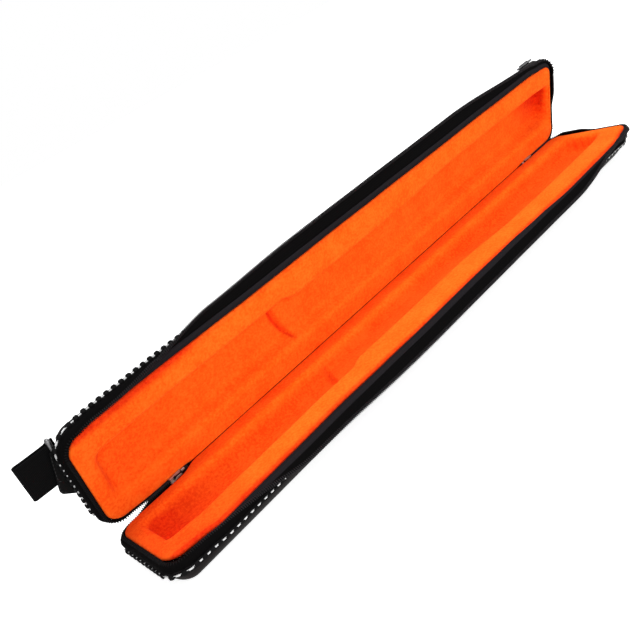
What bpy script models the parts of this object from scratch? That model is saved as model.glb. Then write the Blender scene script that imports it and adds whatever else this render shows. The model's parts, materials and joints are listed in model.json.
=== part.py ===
"""A long semi-rigid flute bag: two padded trays joined by a fabric spine and closed by a zip on three sides.

The base lies on the ground and the lid stands open over it. Lengths are in metres, +Z is up, X runs along
the bag from its near end to its far end, and the origin is the middle of the base's flat underside.

Each tray is drawn in its own terms: x from the lining's near end, s away from the hinge line across the
mouth, and d down from the mouth into the tray. place() puts such a point in the world for either tray.
"""

import math

import bmesh
import bpy
from mathutils import Vector

MM = 0.001
CLEAR = 0.3 * MM                    # gap left between pieces that touch

# Tray, measured at the lining's rim
LINING_LENGTH = 577.0 * MM
LINING_WIDTH = 80.0 * MM
HINGE_MARGIN = 4.1 * MM             # hinge line to the lining's back edge, at the ends
HINGE_BOW = 2.6 * MM                # how much nearer the lining's back edge comes past the sliders
BOW_RUN = 68.0 * MM                 # length over which it comes nearer
CORNER_RADIUS = 11.0 * MM           # the lining's corners, seen from above
TRAY_DEPTH = 21.0 * MM
OPEN_ANGLE = math.radians(71.5)     # between the two mouths, as the bag stands

# Outer cover, a moulded tray of board faced with black cloth-backed vinyl
COVER_WALL = 1.2 * MM
COVER_MARGIN = 4.0 * MM             # the cover's outer face beyond the lining's edge, on the three zip sides
COVER_BACK = 1.5 * MM               # the cover's back wall from the hinge line
COVER_TOP = 5.5 * MM                # the cover's top edge below the mouth
COVER_BACK_TOP = 3.6 * MM           # the same along the spine
ZIP_NOTCH_TOP = 6.7 * MM            # the same behind the zip's two back runs
BOTTOM_RADIUS = 17.0 * MM           # rounding between the cover's walls and its bottom
ROUND_START = 8.5 * MM              # depth from which the rounding shows; above it the wall is upright
NOTCH_LENGTH = 60.0 * MM            # length of the lowered back wall at each end
NOTCH_RUN = 6.0 * MM

# Plush lining over foam
LINING_THICK = 2.0 * MM
FOAM_RELIEF = 0.5 * MM              # slack between the foam and what is round it
LIP_DEPTH = 3.2 * MM                # how far the lining turns down over the rim
RIM_ROUND = 5.0 * MM                # rounding on the rim's outer edge
RIM_DROP = 2.0 * MM                 # how far the rounding falls
END_BAND = 10.5 * MM                # flat rim beside the well, at the two ends
BACK_BAND = 14.5 * MM
FREE_BAND = 21.5 * MM
FREE_BAND_SWELL = 4.5 * MM          # the free side's rim is wider behind the step
WELL_CORNER = 6.0 * MM
WALL_RUN = 4.0 * MM                 # how far the well's soft wall leans in
NEAR_WELL_DEPTH = 14.0 * MM
SADDLE_WELL_DEPTH = 10.6 * MM       # the well behind the step, which the flute's joint rests on
FAR_WELL_DEPTH = 15.0 * MM
STEP_PLACE = 186.0 * MM             # where the well steps up, from the lining's near end
STEP_RUN = 4.0 * MM
STEP_SKEW = 6.0 * MM                # the step is nearer at the free side and further at the hinge side
STEP_BULGE = 4.0 * MM
SADDLE_END = 330.0 * MM
DEEP_START = 400.0 * MM

# Binding strip between the lining and the zip
BINDING_THICK = 1.0 * MM
BINDING_INNER = (0.35 * MM, 2.1 * MM)
BINDING_OUTER = (3.9 * MM, 4.2 * MM)

# Zip tape: beyond the lining's edge, and below the mouth
TAPE_THICK = 0.6 * MM
TAPE_ROOT = (4.7 * MM, 6.0 * MM)
TAPE_SHOULDER = (4.55 * MM, 4.2 * MM)
TAPE_UP_MIDDLE = (3.2 * MM, 2.6 * MM)
TAPE_UP_EDGE = (1.7 * MM, 1.75 * MM)
TAPE_TURN_MIDDLE = (5.2 * MM, 2.4 * MM)     # passed on the way as the tape folds outward
TAPE_TURN_EDGE = (6.0 * MM, 1.6 * MM)
TAPE_OUT_MIDDLE = (7.9 * MM, 7.2 * MM)
TAPE_OUT_EDGE = (11.4 * MM, 10.9 * MM)
ARM_ROOT = (1.9 * MM, 6.0 * MM)     # along the back runs the zip stands between the trays
ARM_SHOULDER = (2.0 * MM, 4.6 * MM)
ARM_MIDDLE = (2.4 * MM, 3.3 * MM)
ARM_EDGE = (2.7 * MM, 2.15 * MM)
COIL_RADIUS = 0.8 * MM
FLOP_START = 60.0 * MM              # the free run of the tape folds outward from here
FLOP_FULL = 190.0 * MM
FLOP_FAR_FULL = 390.0 * MM
FLOP_END = 540.0 * MM

# Woven trim under the tape
TRIM_INNER = 4.3 * MM
TRIM_OUTER = 5.4 * MM
TRIM_TOP = 6.6 * MM
TRIM_BOTTOM = 9.6 * MM

# Fabric spine
SPINE_THICK = 0.9 * MM
SPINE_OFFSET = 0.3 * MM             # the spine's outer face from the hinge line, along each tray's back
SPINE_DEPTH = 14.5 * MM

# Zip slider, parked at the end of the back run
SLIDER_LENGTH = 11.0 * MM
SLIDER_HALF_WIDTH = 3.2 * MM
SLIDER_NOSE_SHARE = 0.62            # width of the slider's nose over its mouth
SLIDER_HALF_HEIGHT = 2.2 * MM
SLIDER_PLATE = 0.9 * MM
SLIDER_FLANGE = 0.7 * MM
SLIDER_PLACE = 52.0 * MM            # its middle, from the end of the lining
DIVIDER_RADIUS = 1.2 * MM
DIVIDER_LENGTH = 3.6 * MM
BRIDGE_WIDTH = 1.2 * MM
BRIDGE_THICK = 0.7 * MM
BRIDGE_RISE = 2.5 * MM
BRIDGE_SPAN = 6.4 * MM
PULL_WIRE = 0.4 * MM                # radius of the pull's eye, and half the tongue's thickness
PULL_EYE = 1.6 * MM
PULL_WIDTH = 2.2 * MM               # slim enough to hang between the two back walls
PULL_LENGTH = 16.5 * MM
PULL_NECK = 0.7 * MM                # run from the eye's width down to the tongue's
STOP_LENGTH = 3.2 * MM
STOP_SIDE = 1.9 * MM

# Webbing loop, tab and strap ring on the lid's near end, placed from the hinge line along the lid
WEB_WIDTH = 30.0 * MM
WEB_THICK = 1.3 * MM
WEB_CENTRE = 66.0 * MM
WEB_DEPTH = 14.6 * MM               # middle of the folded webbing, below the lid's mouth
WEB_REACH = 22.8 * MM               # how far its tip is from the cover's end face
WEB_GAP = 1.0 * MM                  # between its two plies
WEB_RISE = 0.8 * MM                 # its tip sags outward
TAB_THICK = 1.2 * MM
TAB_DEPTH = 9.9 * MM
TAB_LOW = 36.5 * MM
TAB_HIGH = 77.0 * MM
TAB_REACH = 10.4 * MM               # how far the tab stands out at its rounded corner, and at its high end
TAB_REACH_HIGH = 2.4 * MM
TAB_CORNER_PLACE = 46.0 * MM
TAB_CORNER = 3.0 * MM
RING_LENGTH = 40.4 * MM
RING_WIDTH = 7.2 * MM
RING_WIRE = 1.0 * MM                # radius
RING_CORNER = 1.6 * MM
WEB_RUN_SHARES = (0.35, 0.6, 0.85, 1.0)  # rows along each half of the loop
NEAR_RING_OUT = 0.6 * MM            # the ring's plane beyond the cover's end face
NEAR_RING_CENTRE = 63.8 * MM

# Strap ring on the lid's far free-side edge, held by a folded tab
FAR_RING_INSET = 17.0 * MM          # middle of the ring, from the lining's far end
FAR_RING_TURN = math.radians(55.0)  # round the cover's bottom edge, from the free side's wall
ANCHOR_LENGTH = 24.0 * MM
ANCHOR_THICK = 0.8 * MM
ANCHOR_TAIL = 10.0 * MM

# Mesh density
ARC_STEPS = 4                       # segments in a quarter turn of a corner
LONG_STEPS = 14                     # segments along a long side
SHORT_STEPS = 2                     # segments in the straight part of a short side
BOTTOM_STEPS = 4                    # segments in the bottom's rounding
WIRE_SIDES = 8
COIL_SIDES = 6

HINGE_Y = (COVER_BACK + HINGE_MARGIN + LINING_WIDTH + COVER_MARGIN) / 2
HINGE_Z = TRAY_DEPTH
START_X = -LINING_LENGTH / 2
TAPE_END = SLIDER_PLACE - SLIDER_LENGTH / 2 - CLEAR
SPINE_INSET = SLIDER_PLACE + SLIDER_LENGTH / 2 + STOP_LENGTH + 2 * CLEAR
FREE_EDGE = HINGE_MARGIN + LINING_WIDTH
FAR_RING_PLACE = LINING_LENGTH - FAR_RING_INSET
OUTWARD = Vector((0, math.cos(OPEN_ANGLE / 2), -math.sin(OPEN_ANGLE / 2)))
FLOOR_SHARES = (0.0, 0.3, 0.7, 1.0)  # rows of floor points, across the well
WALL_SHARES = (0.3, 0.45)            # how far in and how far down the soft wall's knee lies


def place(tray, x, s, d):
    """World point of a tray's x, s and d."""
    if tray == "base":
        return Vector((START_X + x, HINGE_Y - s, HINGE_Z - d))
    along = Vector((0, -math.cos(OPEN_ANGLE), math.sin(OPEN_ANGLE)))
    down = Vector((0, math.sin(OPEN_ANGLE), math.cos(OPEN_ANGLE)))
    return Vector((START_X + x, HINGE_Y, HINGE_Z)) + along * s + down * d


def ease(value):
    """0 below 0, 1 above 1 and smooth between."""
    t = min(1.0, max(0.0, value))
    return t * t * (3 - 2 * t)


def mix(a, b, t):
    return a + (b - a) * t


def material(name, colour, roughness, metallic=0.0):
    made = bpy.data.materials.new(name)
    made.use_nodes = True
    shader = made.node_tree.nodes["Principled BSDF"]
    shader.inputs["Base Color"].default_value = (*colour, 1.0)
    shader.inputs["Roughness"].default_value = roughness
    shader.inputs["Metallic"].default_value = metallic
    made.diffuse_color = (*colour, 1.0)
    return made


def finish(name, mesh, colour, roughness, metallic=0.0, origin=None, sharp=40.0):
    """Turns a bmesh drawn in world space into a named object, whose origin may be moved."""
    bmesh.ops.remove_doubles(mesh, verts=mesh.verts, dist=0.0001 * MM)
    bmesh.ops.recalc_face_normals(mesh, faces=mesh.faces)
    if mesh.calc_volume(signed=True) < 0:
        bmesh.ops.reverse_faces(mesh, faces=mesh.faces)
    centre = Vector(origin) if origin is not None else Vector()
    bmesh.ops.translate(mesh, verts=mesh.verts, vec=-centre)
    data = bpy.data.meshes.new(name)
    mesh.to_mesh(data)
    mesh.free()
    data.shade_smooth()
    data.set_sharp_from_angle(angle=math.radians(sharp))
    data.materials.append(material(name, colour, roughness, metallic))
    made = bpy.data.objects.new(name, data)
    made.location = centre
    bpy.context.scene.collection.objects.link(made)
    return made


def ring_points(near, far, back, free, radius):
    """Plan of a rounded rectangle, as (x, s) points that match from ring to ring.

    The points start at the near end of the back side and run along the back, the far end, the free side
    and the near end.
    """
    quarter = [i / ARC_STEPS for i in range(1, ARC_STEPS)]
    notch = [NOTCH_LENGTH, NOTCH_LENGTH + NOTCH_RUN]
    rest = LONG_STEPS - 2 * len(notch)
    between = [mix(notch[-1], LINING_LENGTH - notch[-1], i / rest) for i in range(1, rest)]
    long_x = [near + radius] + notch + between + [LINING_LENGTH - x for x in reversed(notch)] + [far - radius]
    short_s = [mix(back + radius, free - radius, i / SHORT_STEPS) for i in range(SHORT_STEPS + 1)]

    def corner(x, s, start):
        turns = [start + t * math.pi / 2 for t in quarter]
        return [(x + radius * math.cos(a), s + radius * math.sin(a)) for a in turns]

    points = [(x, back) for x in long_x]
    points += corner(far - radius, back + radius, -math.pi / 2)
    points += [(far, s) for s in short_s]
    points += corner(far - radius, free - radius, 0.0)
    points += [(x, free) for x in reversed(long_x)]
    points += corner(near + radius, free - radius, math.pi / 2)
    points += [(near, s) for s in reversed(short_s)]
    points += corner(near + radius, back + radius, math.pi)
    return points


def back_edge(x):
    """The lining's back edge: clear of the sliders at the ends, and nearer the hinge line between them."""
    end = min(x, LINING_LENGTH - x)
    return HINGE_MARGIN - HINGE_BOW * ease((end - NOTCH_LENGTH) / BOW_RUN)


def bowed(points, depth):
    """Gives plan points a depth and bows their hinge-side half to follow the lining's back edge."""
    middle = HINGE_MARGIN + LINING_WIDTH / 2
    made = []
    for x, s in points:
        hold = ease((middle - s) / (middle - HINGE_MARGIN))
        made.append((x, s + (back_edge(x) - HINGE_MARGIN) * hold, depth))
    return made


def well_depth(x, s):
    """Depth of the lining's floor: a well at the near end, a step up to a saddle, and a long deep end."""
    across = (s - HINGE_MARGIN - BACK_BAND) / (LINING_WIDTH - BACK_BAND - FREE_BAND)
    line = STEP_PLACE + STEP_SKEW * (1 - 2 * across) - STEP_BULGE * 4 * across * (1 - across)
    up = ease((x - line) / STEP_RUN)
    down = ease((x - SADDLE_END) / (DEEP_START - SADDLE_END))
    saddle = mix(NEAR_WELL_DEPTH, SADDLE_WELL_DEPTH, up)
    return mix(saddle, FAR_WELL_DEPTH, down)


def free_line(x):
    """The free-side edge of the well, which swells inward behind the step."""
    swell = ease((x - STEP_PLACE) / WALL_RUN) * (1 - ease((x - SADDLE_END) / (DEEP_START - SADDLE_END)))
    return FREE_EDGE - FREE_BAND - FREE_BAND_SWELL * swell


def well_rows():
    """Places along the well at which its floor is drawn, closer together at the step."""
    near = END_BAND + WALL_RUN + WELL_CORNER
    far = LINING_LENGTH - near
    step = [STEP_PLACE - STEP_RUN, STEP_PLACE, STEP_PLACE + STEP_RUN, STEP_PLACE + 2 * STEP_RUN]
    front = [mix(near, step[0], i / 3) for i in range(3)]
    rear_count = LONG_STEPS - len(step) - len(front)
    rear = [mix(step[-1], far, (i + 1) / (rear_count + 1)) for i in range(rear_count + 1)]
    return front + step + rear


def well_ring(inset, depth_share, lower):
    """A ring round the well, inset from its mouth; depth_share runs from the rim to the floor."""
    near = END_BAND + inset
    far = LINING_LENGTH - END_BAND - inset
    back = HINGE_MARGIN + BACK_BAND + inset
    radius = WELL_CORNER
    plan = ring_points(near, far, back, FREE_EDGE - FREE_BAND - inset, radius)
    rows = well_rows()
    made = []
    for index, (x, s) in enumerate(plan):
        if index <= LONG_STEPS:
            x = rows[index]
        first = LONG_STEPS + 2 * ARC_STEPS + SHORT_STEPS
        if first <= index <= first + LONG_STEPS:
            x = rows[LONG_STEPS - (index - first)]
            s = free_line(x) - inset
        depth = mix(CLEAR, well_depth(x, s), depth_share) + lower
        made.append((x, s, depth))
    return made


def tray_mesh(tray, rings, floor_first=None, floor_last=None):
    """Joins rings of matching points into one closed skin, with a floor across the first and the last."""
    mesh = bmesh.new()
    loops = [[mesh.verts.new(place(tray, *p)) for p in ring] for ring in rings]
    for lower, upper in zip(loops, loops[1:]):
        count = len(lower)
        for i in range(count):
            j = (i + 1) % count
            mesh.faces.new((lower[i], lower[j], upper[j], upper[i]))
    for loop, ring, floor in ((loops[0], rings[0], floor_first), (loops[-1], rings[-1], floor_last)):
        if floor is None:
            mesh.faces.new(loop)
        else:
            lay_floor(tray, mesh, loop, ring, floor)
    return mesh


def lay_floor(tray, mesh, loop, ring, depth_at):
    """Fills a ring with rows across it, whose points take their depth from depth_at."""
    across = FLOOR_SHARES
    first = LONG_STEPS + 2 * ARC_STEPS + SHORT_STEPS
    rows = []
    for k in range(LONG_STEPS + 1):
        start, end = ring[k], ring[first + LONG_STEPS - k]
        row = [loop[k]]
        for share in across[1:-1]:
            x, s = mix(start[0], end[0], share), mix(start[1], end[1], share)
            row.append(mesh.verts.new(place(tray, x, s, depth_at(x, s))))
        row.append(loop[first + LONG_STEPS - k])
        rows.append(row)
    for low, high in zip(rows, rows[1:]):
        for j in range(len(across) - 1):
            mesh.faces.new((low[j], low[j + 1], high[j + 1], high[j]))
    far_side = loop[LONG_STEPS:first + 1]
    mesh.faces.new(far_side + list(reversed(rows[-1][1:-1])))
    near_side = loop[first + LONG_STEPS:] + [loop[0]]
    mesh.faces.new(near_side + rows[0][1:-1])


def make_lining(tray):
    """Orange plush: a rim that turns down outside, a soft wall and the well's floor, of even thickness."""
    def outer(margin, depth):
        plan = ring_points(-margin, LINING_LENGTH + margin, HINGE_MARGIN - margin, FREE_EDGE + margin,
                           CORNER_RADIUS + margin)
        return bowed(plan, depth)

    round_share, drop_share = WALL_SHARES
    inner = LINING_THICK
    rings = [
        well_ring(WALL_RUN - inner / 2, 1.0, inner),
        well_ring(WALL_RUN * round_share - inner, drop_share, inner / 2),
        well_ring(-inner, 0.0, inner),
        outer(-RIM_ROUND, CLEAR + inner),
        outer(-inner, CLEAR + RIM_DROP * round_share + inner),
        outer(-inner, LIP_DEPTH),
        outer(0, LIP_DEPTH),
        outer(0, CLEAR + RIM_DROP),
        outer(-RIM_ROUND * round_share, CLEAR + RIM_DROP * round_share),
        outer(-RIM_ROUND, CLEAR),
        well_ring(-inner * round_share, 0.0, 0.0),
        well_ring(WALL_RUN * round_share, drop_share, 0.0),
        well_ring(WALL_RUN, 1.0, 0.0),
    ]
    mesh = tray_mesh(tray, rings, lambda x, s: well_depth(x, s) + inner, well_depth)
    return finish(tray + "_lining", mesh, (0.95, 0.16, 0.01), 0.95)


def cover_ring(inset, depth, radius_loss=0.0):
    """A ring of the cover, inset from its outer face."""
    margin = COVER_MARGIN - inset
    radius = max(CORNER_RADIUS + margin - radius_loss, COVER_WALL)
    plan = ring_points(-margin, LINING_LENGTH + margin, COVER_BACK + inset, FREE_EDGE + margin, radius)
    return [(x, s, depth) for x, s in plan]


def cover_top(x, s):
    """Height of the cover's top edge: lower behind the zip's back runs, higher along the spine."""
    hold = ease((HINGE_MARGIN + CORNER_RADIUS - s) / CORNER_RADIUS)
    ends = min(x, LINING_LENGTH - x)
    back = mix(ZIP_NOTCH_TOP, COVER_BACK_TOP, ease((ends - NOTCH_LENGTH) / NOTCH_RUN))
    return mix(COVER_TOP, back, hold)


def edge_ring(inset, drop):
    """The cover's top edge, inset from the outer face and dropped below the cover's own top."""
    made = cover_ring(inset, 0.0)
    return [(x, s, cover_top(x, s) + drop) for x, s, _ in made]


def bottom_rings(inset, top_first):
    """Rings round the moulded bottom's quarter-round, from the wall to the flat or the other way."""
    radius = BOTTOM_RADIUS - inset
    centre = TRAY_DEPTH - BOTTOM_RADIUS
    first = math.asin((ROUND_START - centre) / radius)
    rings = []
    for i in range(BOTTOM_STEPS + 1):
        turn = mix(first, math.pi / 2, i / BOTTOM_STEPS)
        lean = radius * (1 - math.cos(turn))
        rings.append(cover_ring(inset + lean, centre + radius * math.sin(turn)))
    return rings if top_first else list(reversed(rings))


def make_cover(tray):
    """Black moulded tray with upright walls, a quarter-round bottom edge and a flat bottom."""
    half = COVER_WALL / 2
    rings = bottom_rings(0.0, False)
    rings += [edge_ring(0.0, half), edge_ring(half, 0.0), edge_ring(COVER_WALL, half)]
    rings += bottom_rings(COVER_WALL, True)
    return finish(tray + "_cover", tray_mesh(tray, rings), (0.02, 0.017, 0.018), 0.45)


def make_foam(tray):
    """Foam that fills the tray between the cover and the lining."""
    inset = COVER_WALL + FOAM_RELIEF
    under = LINING_THICK + CLEAR
    floor = under + FOAM_RELIEF
    wall_share, drop_share = WALL_SHARES

    def rim(margin, depth):
        plan = ring_points(-margin, LINING_LENGTH + margin, HINGE_MARGIN - margin, FREE_EDGE + margin,
                           CORNER_RADIUS + margin)
        return bowed(plan, depth)

    lip = LIP_DEPTH + CLEAR
    crest = CLEAR + RIM_DROP * wall_share + under
    shoulder = [(x, s, cover_top(x, s) + CLEAR) for x, s, _ in cover_ring(inset, 0.0)]
    rings = bottom_rings(inset, False)
    rings += [
        shoulder,
        rim(-LINING_THICK, lip + CLEAR),
        rim(-under - CLEAR, lip),
        rim(-under - 2 * CLEAR, crest + CLEAR),
        rim(-RIM_ROUND - CLEAR, CLEAR + under),
        well_ring(-under, 0.0, under),
        well_ring(WALL_RUN * wall_share - floor, drop_share, under / 2),
        well_ring(WALL_RUN - floor / 2 - CLEAR, 1.0, floor),
    ]
    mesh = tray_mesh(tray, rings, None, lambda x, s: well_depth(x, s) + floor)
    return finish(tray + "_foam", mesh, (0.75, 0.73, 0.68), 0.9)


def rim_stations(step, arm_length):
    """Stations round the zip's path: the back run at the near end, round three sides, and the far back run.

    Each is (x, s, out_x, out_s, back), where back is 1 on the two back runs and 0 on the three open sides.
    """
    radius = CORNER_RADIUS
    made = []

    def line(x0, s0, x1, s1, normal, back):
        length = math.hypot(x1 - x0, s1 - s0)
        count = max(1, round(length / step))
        for i in range(1, count):
            t = i / count
            made.append((mix(x0, x1, t), mix(s0, s1, t), *normal, back))

    def arc(x, s, start, back_from, back_to):
        for i in range(ARC_STEPS + 1):
            t = i / ARC_STEPS
            turn = start - t * math.pi / 2
            out = (math.cos(turn), math.sin(turn))
            made.append((x + radius * out[0], s + radius * out[1], *out, mix(back_from, back_to, ease(t))))

    length, back, free = LINING_LENGTH, HINGE_MARGIN, FREE_EDGE
    if arm_length > radius:
        made.append((arm_length, back, 0.0, -1.0, 1.0))
        line(arm_length, back, radius, back, (0.0, -1.0), 1.0)
    arc(radius, back + radius, -math.pi / 2, 1.0, 0.0)
    line(0.0, back + radius, 0.0, free - radius, (-1.0, 0.0), 0.0)
    arc(radius, free - radius, math.pi, 0.0, 0.0)
    line(radius, free, length - radius, free, (0.0, 1.0), 0.0)
    arc(length - radius, free - radius, math.pi / 2, 0.0, 0.0)
    line(length, free - radius, length, back + radius, (1.0, 0.0), 0.0)
    arc(length - radius, back + radius, 0.0, 0.0, 1.0)
    if arm_length > radius:
        line(length - radius, back, length - arm_length, back, (0.0, -1.0), 1.0)
        made.append((length - arm_length, back, 0.0, -1.0, 1.0))
    return made


def sweep(mesh, tray, stations, section_at):
    """Sweeps a closed section of (outward, depth) points along the stations and caps both ends."""
    loops = []
    for station in stations:
        x, s, out_x, out_s, _ = station
        loop = []
        for m, d in section_at(station):
            loop.append(mesh.verts.new(place(tray, x + out_x * m, s + out_s * m, d)))
        loops.append(loop)
    for low, high in zip(loops, loops[1:]):
        count = len(low)
        for i in range(count):
            j = (i + 1) % count
            mesh.faces.new((low[i], low[j], high[j], high[i]))
    mesh.faces.new(loops[0])
    mesh.faces.new(list(reversed(loops[-1])))


def thick_line(points, thick):
    """Closed section of a strip of even thickness along a few (outward, depth) points."""
    left, right = [], []
    for i, (m, d) in enumerate(points):
        before, after = points[max(i - 1, 0)], points[min(i + 1, len(points) - 1)]
        along = Vector((after[0] - before[0], after[1] - before[1])).normalized()
        left.append((m - along.y * thick / 2, d + along.x * thick / 2))
        right.append((m + along.y * thick / 2, d - along.x * thick / 2))
    return left + list(reversed(right))


def flop(station):
    """How far the tape has folded outward: nothing at the ends, all the way at mid-length."""
    x, s = station[0], station[1]
    if s < FREE_EDGE - CORNER_RADIUS / 2:
        return 0.0
    near = ease((x - FLOP_START) / (FLOP_FULL - FLOP_START))
    far = ease((FLOP_END - x) / (FLOP_END - FLOP_FAR_FULL))
    return near * far


def tape_line(station):
    """The tape's middle line at a station, from its sewn root to the edge that carries the coil."""
    fold, back = flop(station), station[4]
    up = (TAPE_ROOT, TAPE_SHOULDER, TAPE_UP_MIDDLE, TAPE_UP_EDGE)
    turn = (TAPE_ROOT, TAPE_SHOULDER, TAPE_TURN_MIDDLE, TAPE_TURN_EDGE)
    out = (TAPE_ROOT, TAPE_SHOULDER, TAPE_OUT_MIDDLE, TAPE_OUT_EDGE)
    arm = (ARM_ROOT, ARM_SHOULDER, ARM_MIDDLE, ARM_EDGE)
    made = []
    for a, b, c, e in zip(up, turn, out, arm):
        m = mix(mix(a[0], b[0], fold), mix(b[0], c[0], fold), fold)
        d = mix(mix(a[1], b[1], fold), mix(b[1], c[1], fold), fold)
        made.append((mix(m, e[0], back), mix(d, e[1], back)))
    return made


def coil_section(station):
    """Bead that stands for the row of coils, just past the tape's edge."""
    line = tape_line(station)
    along = Vector((line[-1][0] - line[-2][0], line[-1][1] - line[-2][1])).normalized()
    reach = COIL_RADIUS * math.cos(math.pi / COIL_SIDES) + CLEAR
    centre = Vector(line[-1]) + along * reach
    turns = [math.pi * (2 * i + 1) / COIL_SIDES for i in range(COIL_SIDES)]
    lean = math.atan2(along.y, along.x)
    return [(centre.x + COIL_RADIUS * math.cos(a + lean), centre.y + COIL_RADIUS * math.sin(a + lean))
            for a in turns]


def make_zip_side(tray):
    """A tape and its coil, along the back runs and the three open sides."""
    stations = rim_stations(LINING_LENGTH / (2 * LONG_STEPS), TAPE_END)
    tape = bmesh.new()
    sweep(tape, tray, stations, lambda at: thick_line(tape_line(at), TAPE_THICK))
    coil = bmesh.new()
    sweep(coil, tray, stations, coil_section)
    finish(tray + "_tape", tape, (0.03, 0.03, 0.032), 0.8)
    finish(tray + "_coil", coil, (0.012, 0.012, 0.013), 0.35)


def make_binding(tray):
    """Smooth strip that covers the seam between the lining and the tape."""
    def section(station):
        shrink = station[4]
        inner, outer = Vector(BINDING_INNER), Vector(BINDING_OUTER)
        middle = (COVER_WALL, BINDING_OUTER[1] + CLEAR)
        outer = outer.lerp(Vector(middle), shrink)
        down = Vector((0, BINDING_THICK))
        return [inner, outer, outer + down, inner + down]

    mesh = bmesh.new()
    sweep(mesh, tray, rim_stations(LINING_LENGTH / LONG_STEPS, 0.0), section)
    finish(tray + "_binding", mesh, (0.06, 0.06, 0.065), 0.5)


def make_trim(tray):
    """Black and white woven braid along the cover's top edge, on the three open sides."""
    stations = [at for at in rim_stations(LINING_LENGTH / LONG_STEPS, 0.0) if at[4] == 0.0]
    middle = (TRIM_TOP + TRIM_BOTTOM) / 2
    quarter = (TRIM_BOTTOM - TRIM_TOP) / 4
    section = [
        (TRIM_INNER, TRIM_TOP),
        (TRIM_OUTER - CLEAR, TRIM_TOP),
        (TRIM_OUTER, middle - quarter),
        (TRIM_OUTER, middle + quarter),
        (TRIM_OUTER - CLEAR, TRIM_BOTTOM),
        (TRIM_INNER, TRIM_BOTTOM),
    ]
    mesh = bmesh.new()
    sweep(mesh, tray, stations, lambda at: section)
    finish(tray + "_trim", mesh, (0.5, 0.5, 0.5), 0.8)


def prism(mesh, outline, thick):
    """Extrudes a closed world-space outline by a thickness vector."""
    low = [mesh.verts.new(p) for p in outline]
    high = [mesh.verts.new(Vector(p) + thick) for p in outline]
    count = len(low)
    for i in range(count):
        j = (i + 1) % count
        mesh.faces.new((low[i], low[j], high[j], high[i]))
    mesh.faces.new(list(reversed(low)))
    mesh.faces.new(high)


def make_spine():
    """Fabric hinge: a strip folded on the hinge line and glued down each tray's back wall."""
    outer, inner = SPINE_OFFSET, SPINE_OFFSET + SPINE_THICK
    fold = inner / math.sin(OPEN_ANGLE / 2)
    x0, x1 = SPINE_INSET, LINING_LENGTH - SPINE_INSET
    line = [
        place("base", x0, outer, SPINE_DEPTH),
        place("base", x0, outer, outer),
        place("lid", x0, outer, outer),
        place("lid", x0, outer, SPINE_DEPTH),
        place("lid", x0, inner, SPINE_DEPTH),
        place("lid", x0, inner, inner),
        Vector((START_X + x0, HINGE_Y, HINGE_Z)) - OUTWARD * (fold - inner),
        place("base", x0, inner, inner),
        place("base", x0, inner, SPINE_DEPTH),
    ]
    mesh = bmesh.new()
    prism(mesh, line, Vector((x1 - x0, 0, 0)))
    finish("spine", mesh, (0.02, 0.02, 0.022), 0.7, sharp=60.0)


def slider_frame(end):
    """Axes of a slider: its middle on the hinge line, towards the zip, across it, and down between the trays."""
    facing = -1 if end == "near" else 1
    x = SLIDER_PLACE if end == "near" else LINING_LENGTH - SLIDER_PLACE
    centre = Vector((START_X + x, HINGE_Y, HINGE_Z))
    return centre, Vector((facing, 0, 0)), Vector((0, 1, 0)), Vector((0, 0, -1))


def box_between(mesh, frame, low, high):
    """Box in a slider's own axes: along the zip, across it, and outward."""
    centre, along, across, out = frame
    corners = [(low[0], low[1]), (high[0], low[1]), (high[0], high[1]), (low[0], high[1])]
    outline = [centre + along * a + across * b + out * low[2] for a, b in corners]
    prism(mesh, outline, out * (high[2] - low[2]))


def slider_plan(half_width):
    """Outline of a slider plate, wide at the mouth and narrow at the nose, with cut corners."""
    nose = half_width * SLIDER_NOSE_SHARE
    front, back = SLIDER_LENGTH / 2, -SLIDER_LENGTH / 2
    cut = SLIDER_PLATE
    return [(back, nose - cut), (back + cut, nose), (0.0, nose), (front - 3 * cut, half_width),
            (front - cut, half_width), (front, half_width - cut), (front, cut - half_width),
            (front - cut, -half_width), (front - 3 * cut, -half_width), (0.0, -nose),
            (back + cut, -nose), (back, cut - nose)]


def union(target, others):
    """Joins the other objects into the target with exact Booleans and removes them."""
    for other in others:
        joined = target.modifiers.new("join", "BOOLEAN")
        joined.operation = "UNION"
        joined.solver = "EXACT"
        joined.object = other
        other.hide_render = True
        other.display_type = "WIRE"


def slider_prism(name, frame, outline, low, high):
    """A plate of a slider, as its own object in world axes."""
    centre, along, across, out = frame
    mesh = bmesh.new()
    points = [centre + along * a + across * b + out * low for a, b in outline]
    prism(mesh, points, out * (high - low))
    return finish(name, mesh, (0.09, 0.09, 0.1), 0.3, 1.0, origin=centre)


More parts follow.
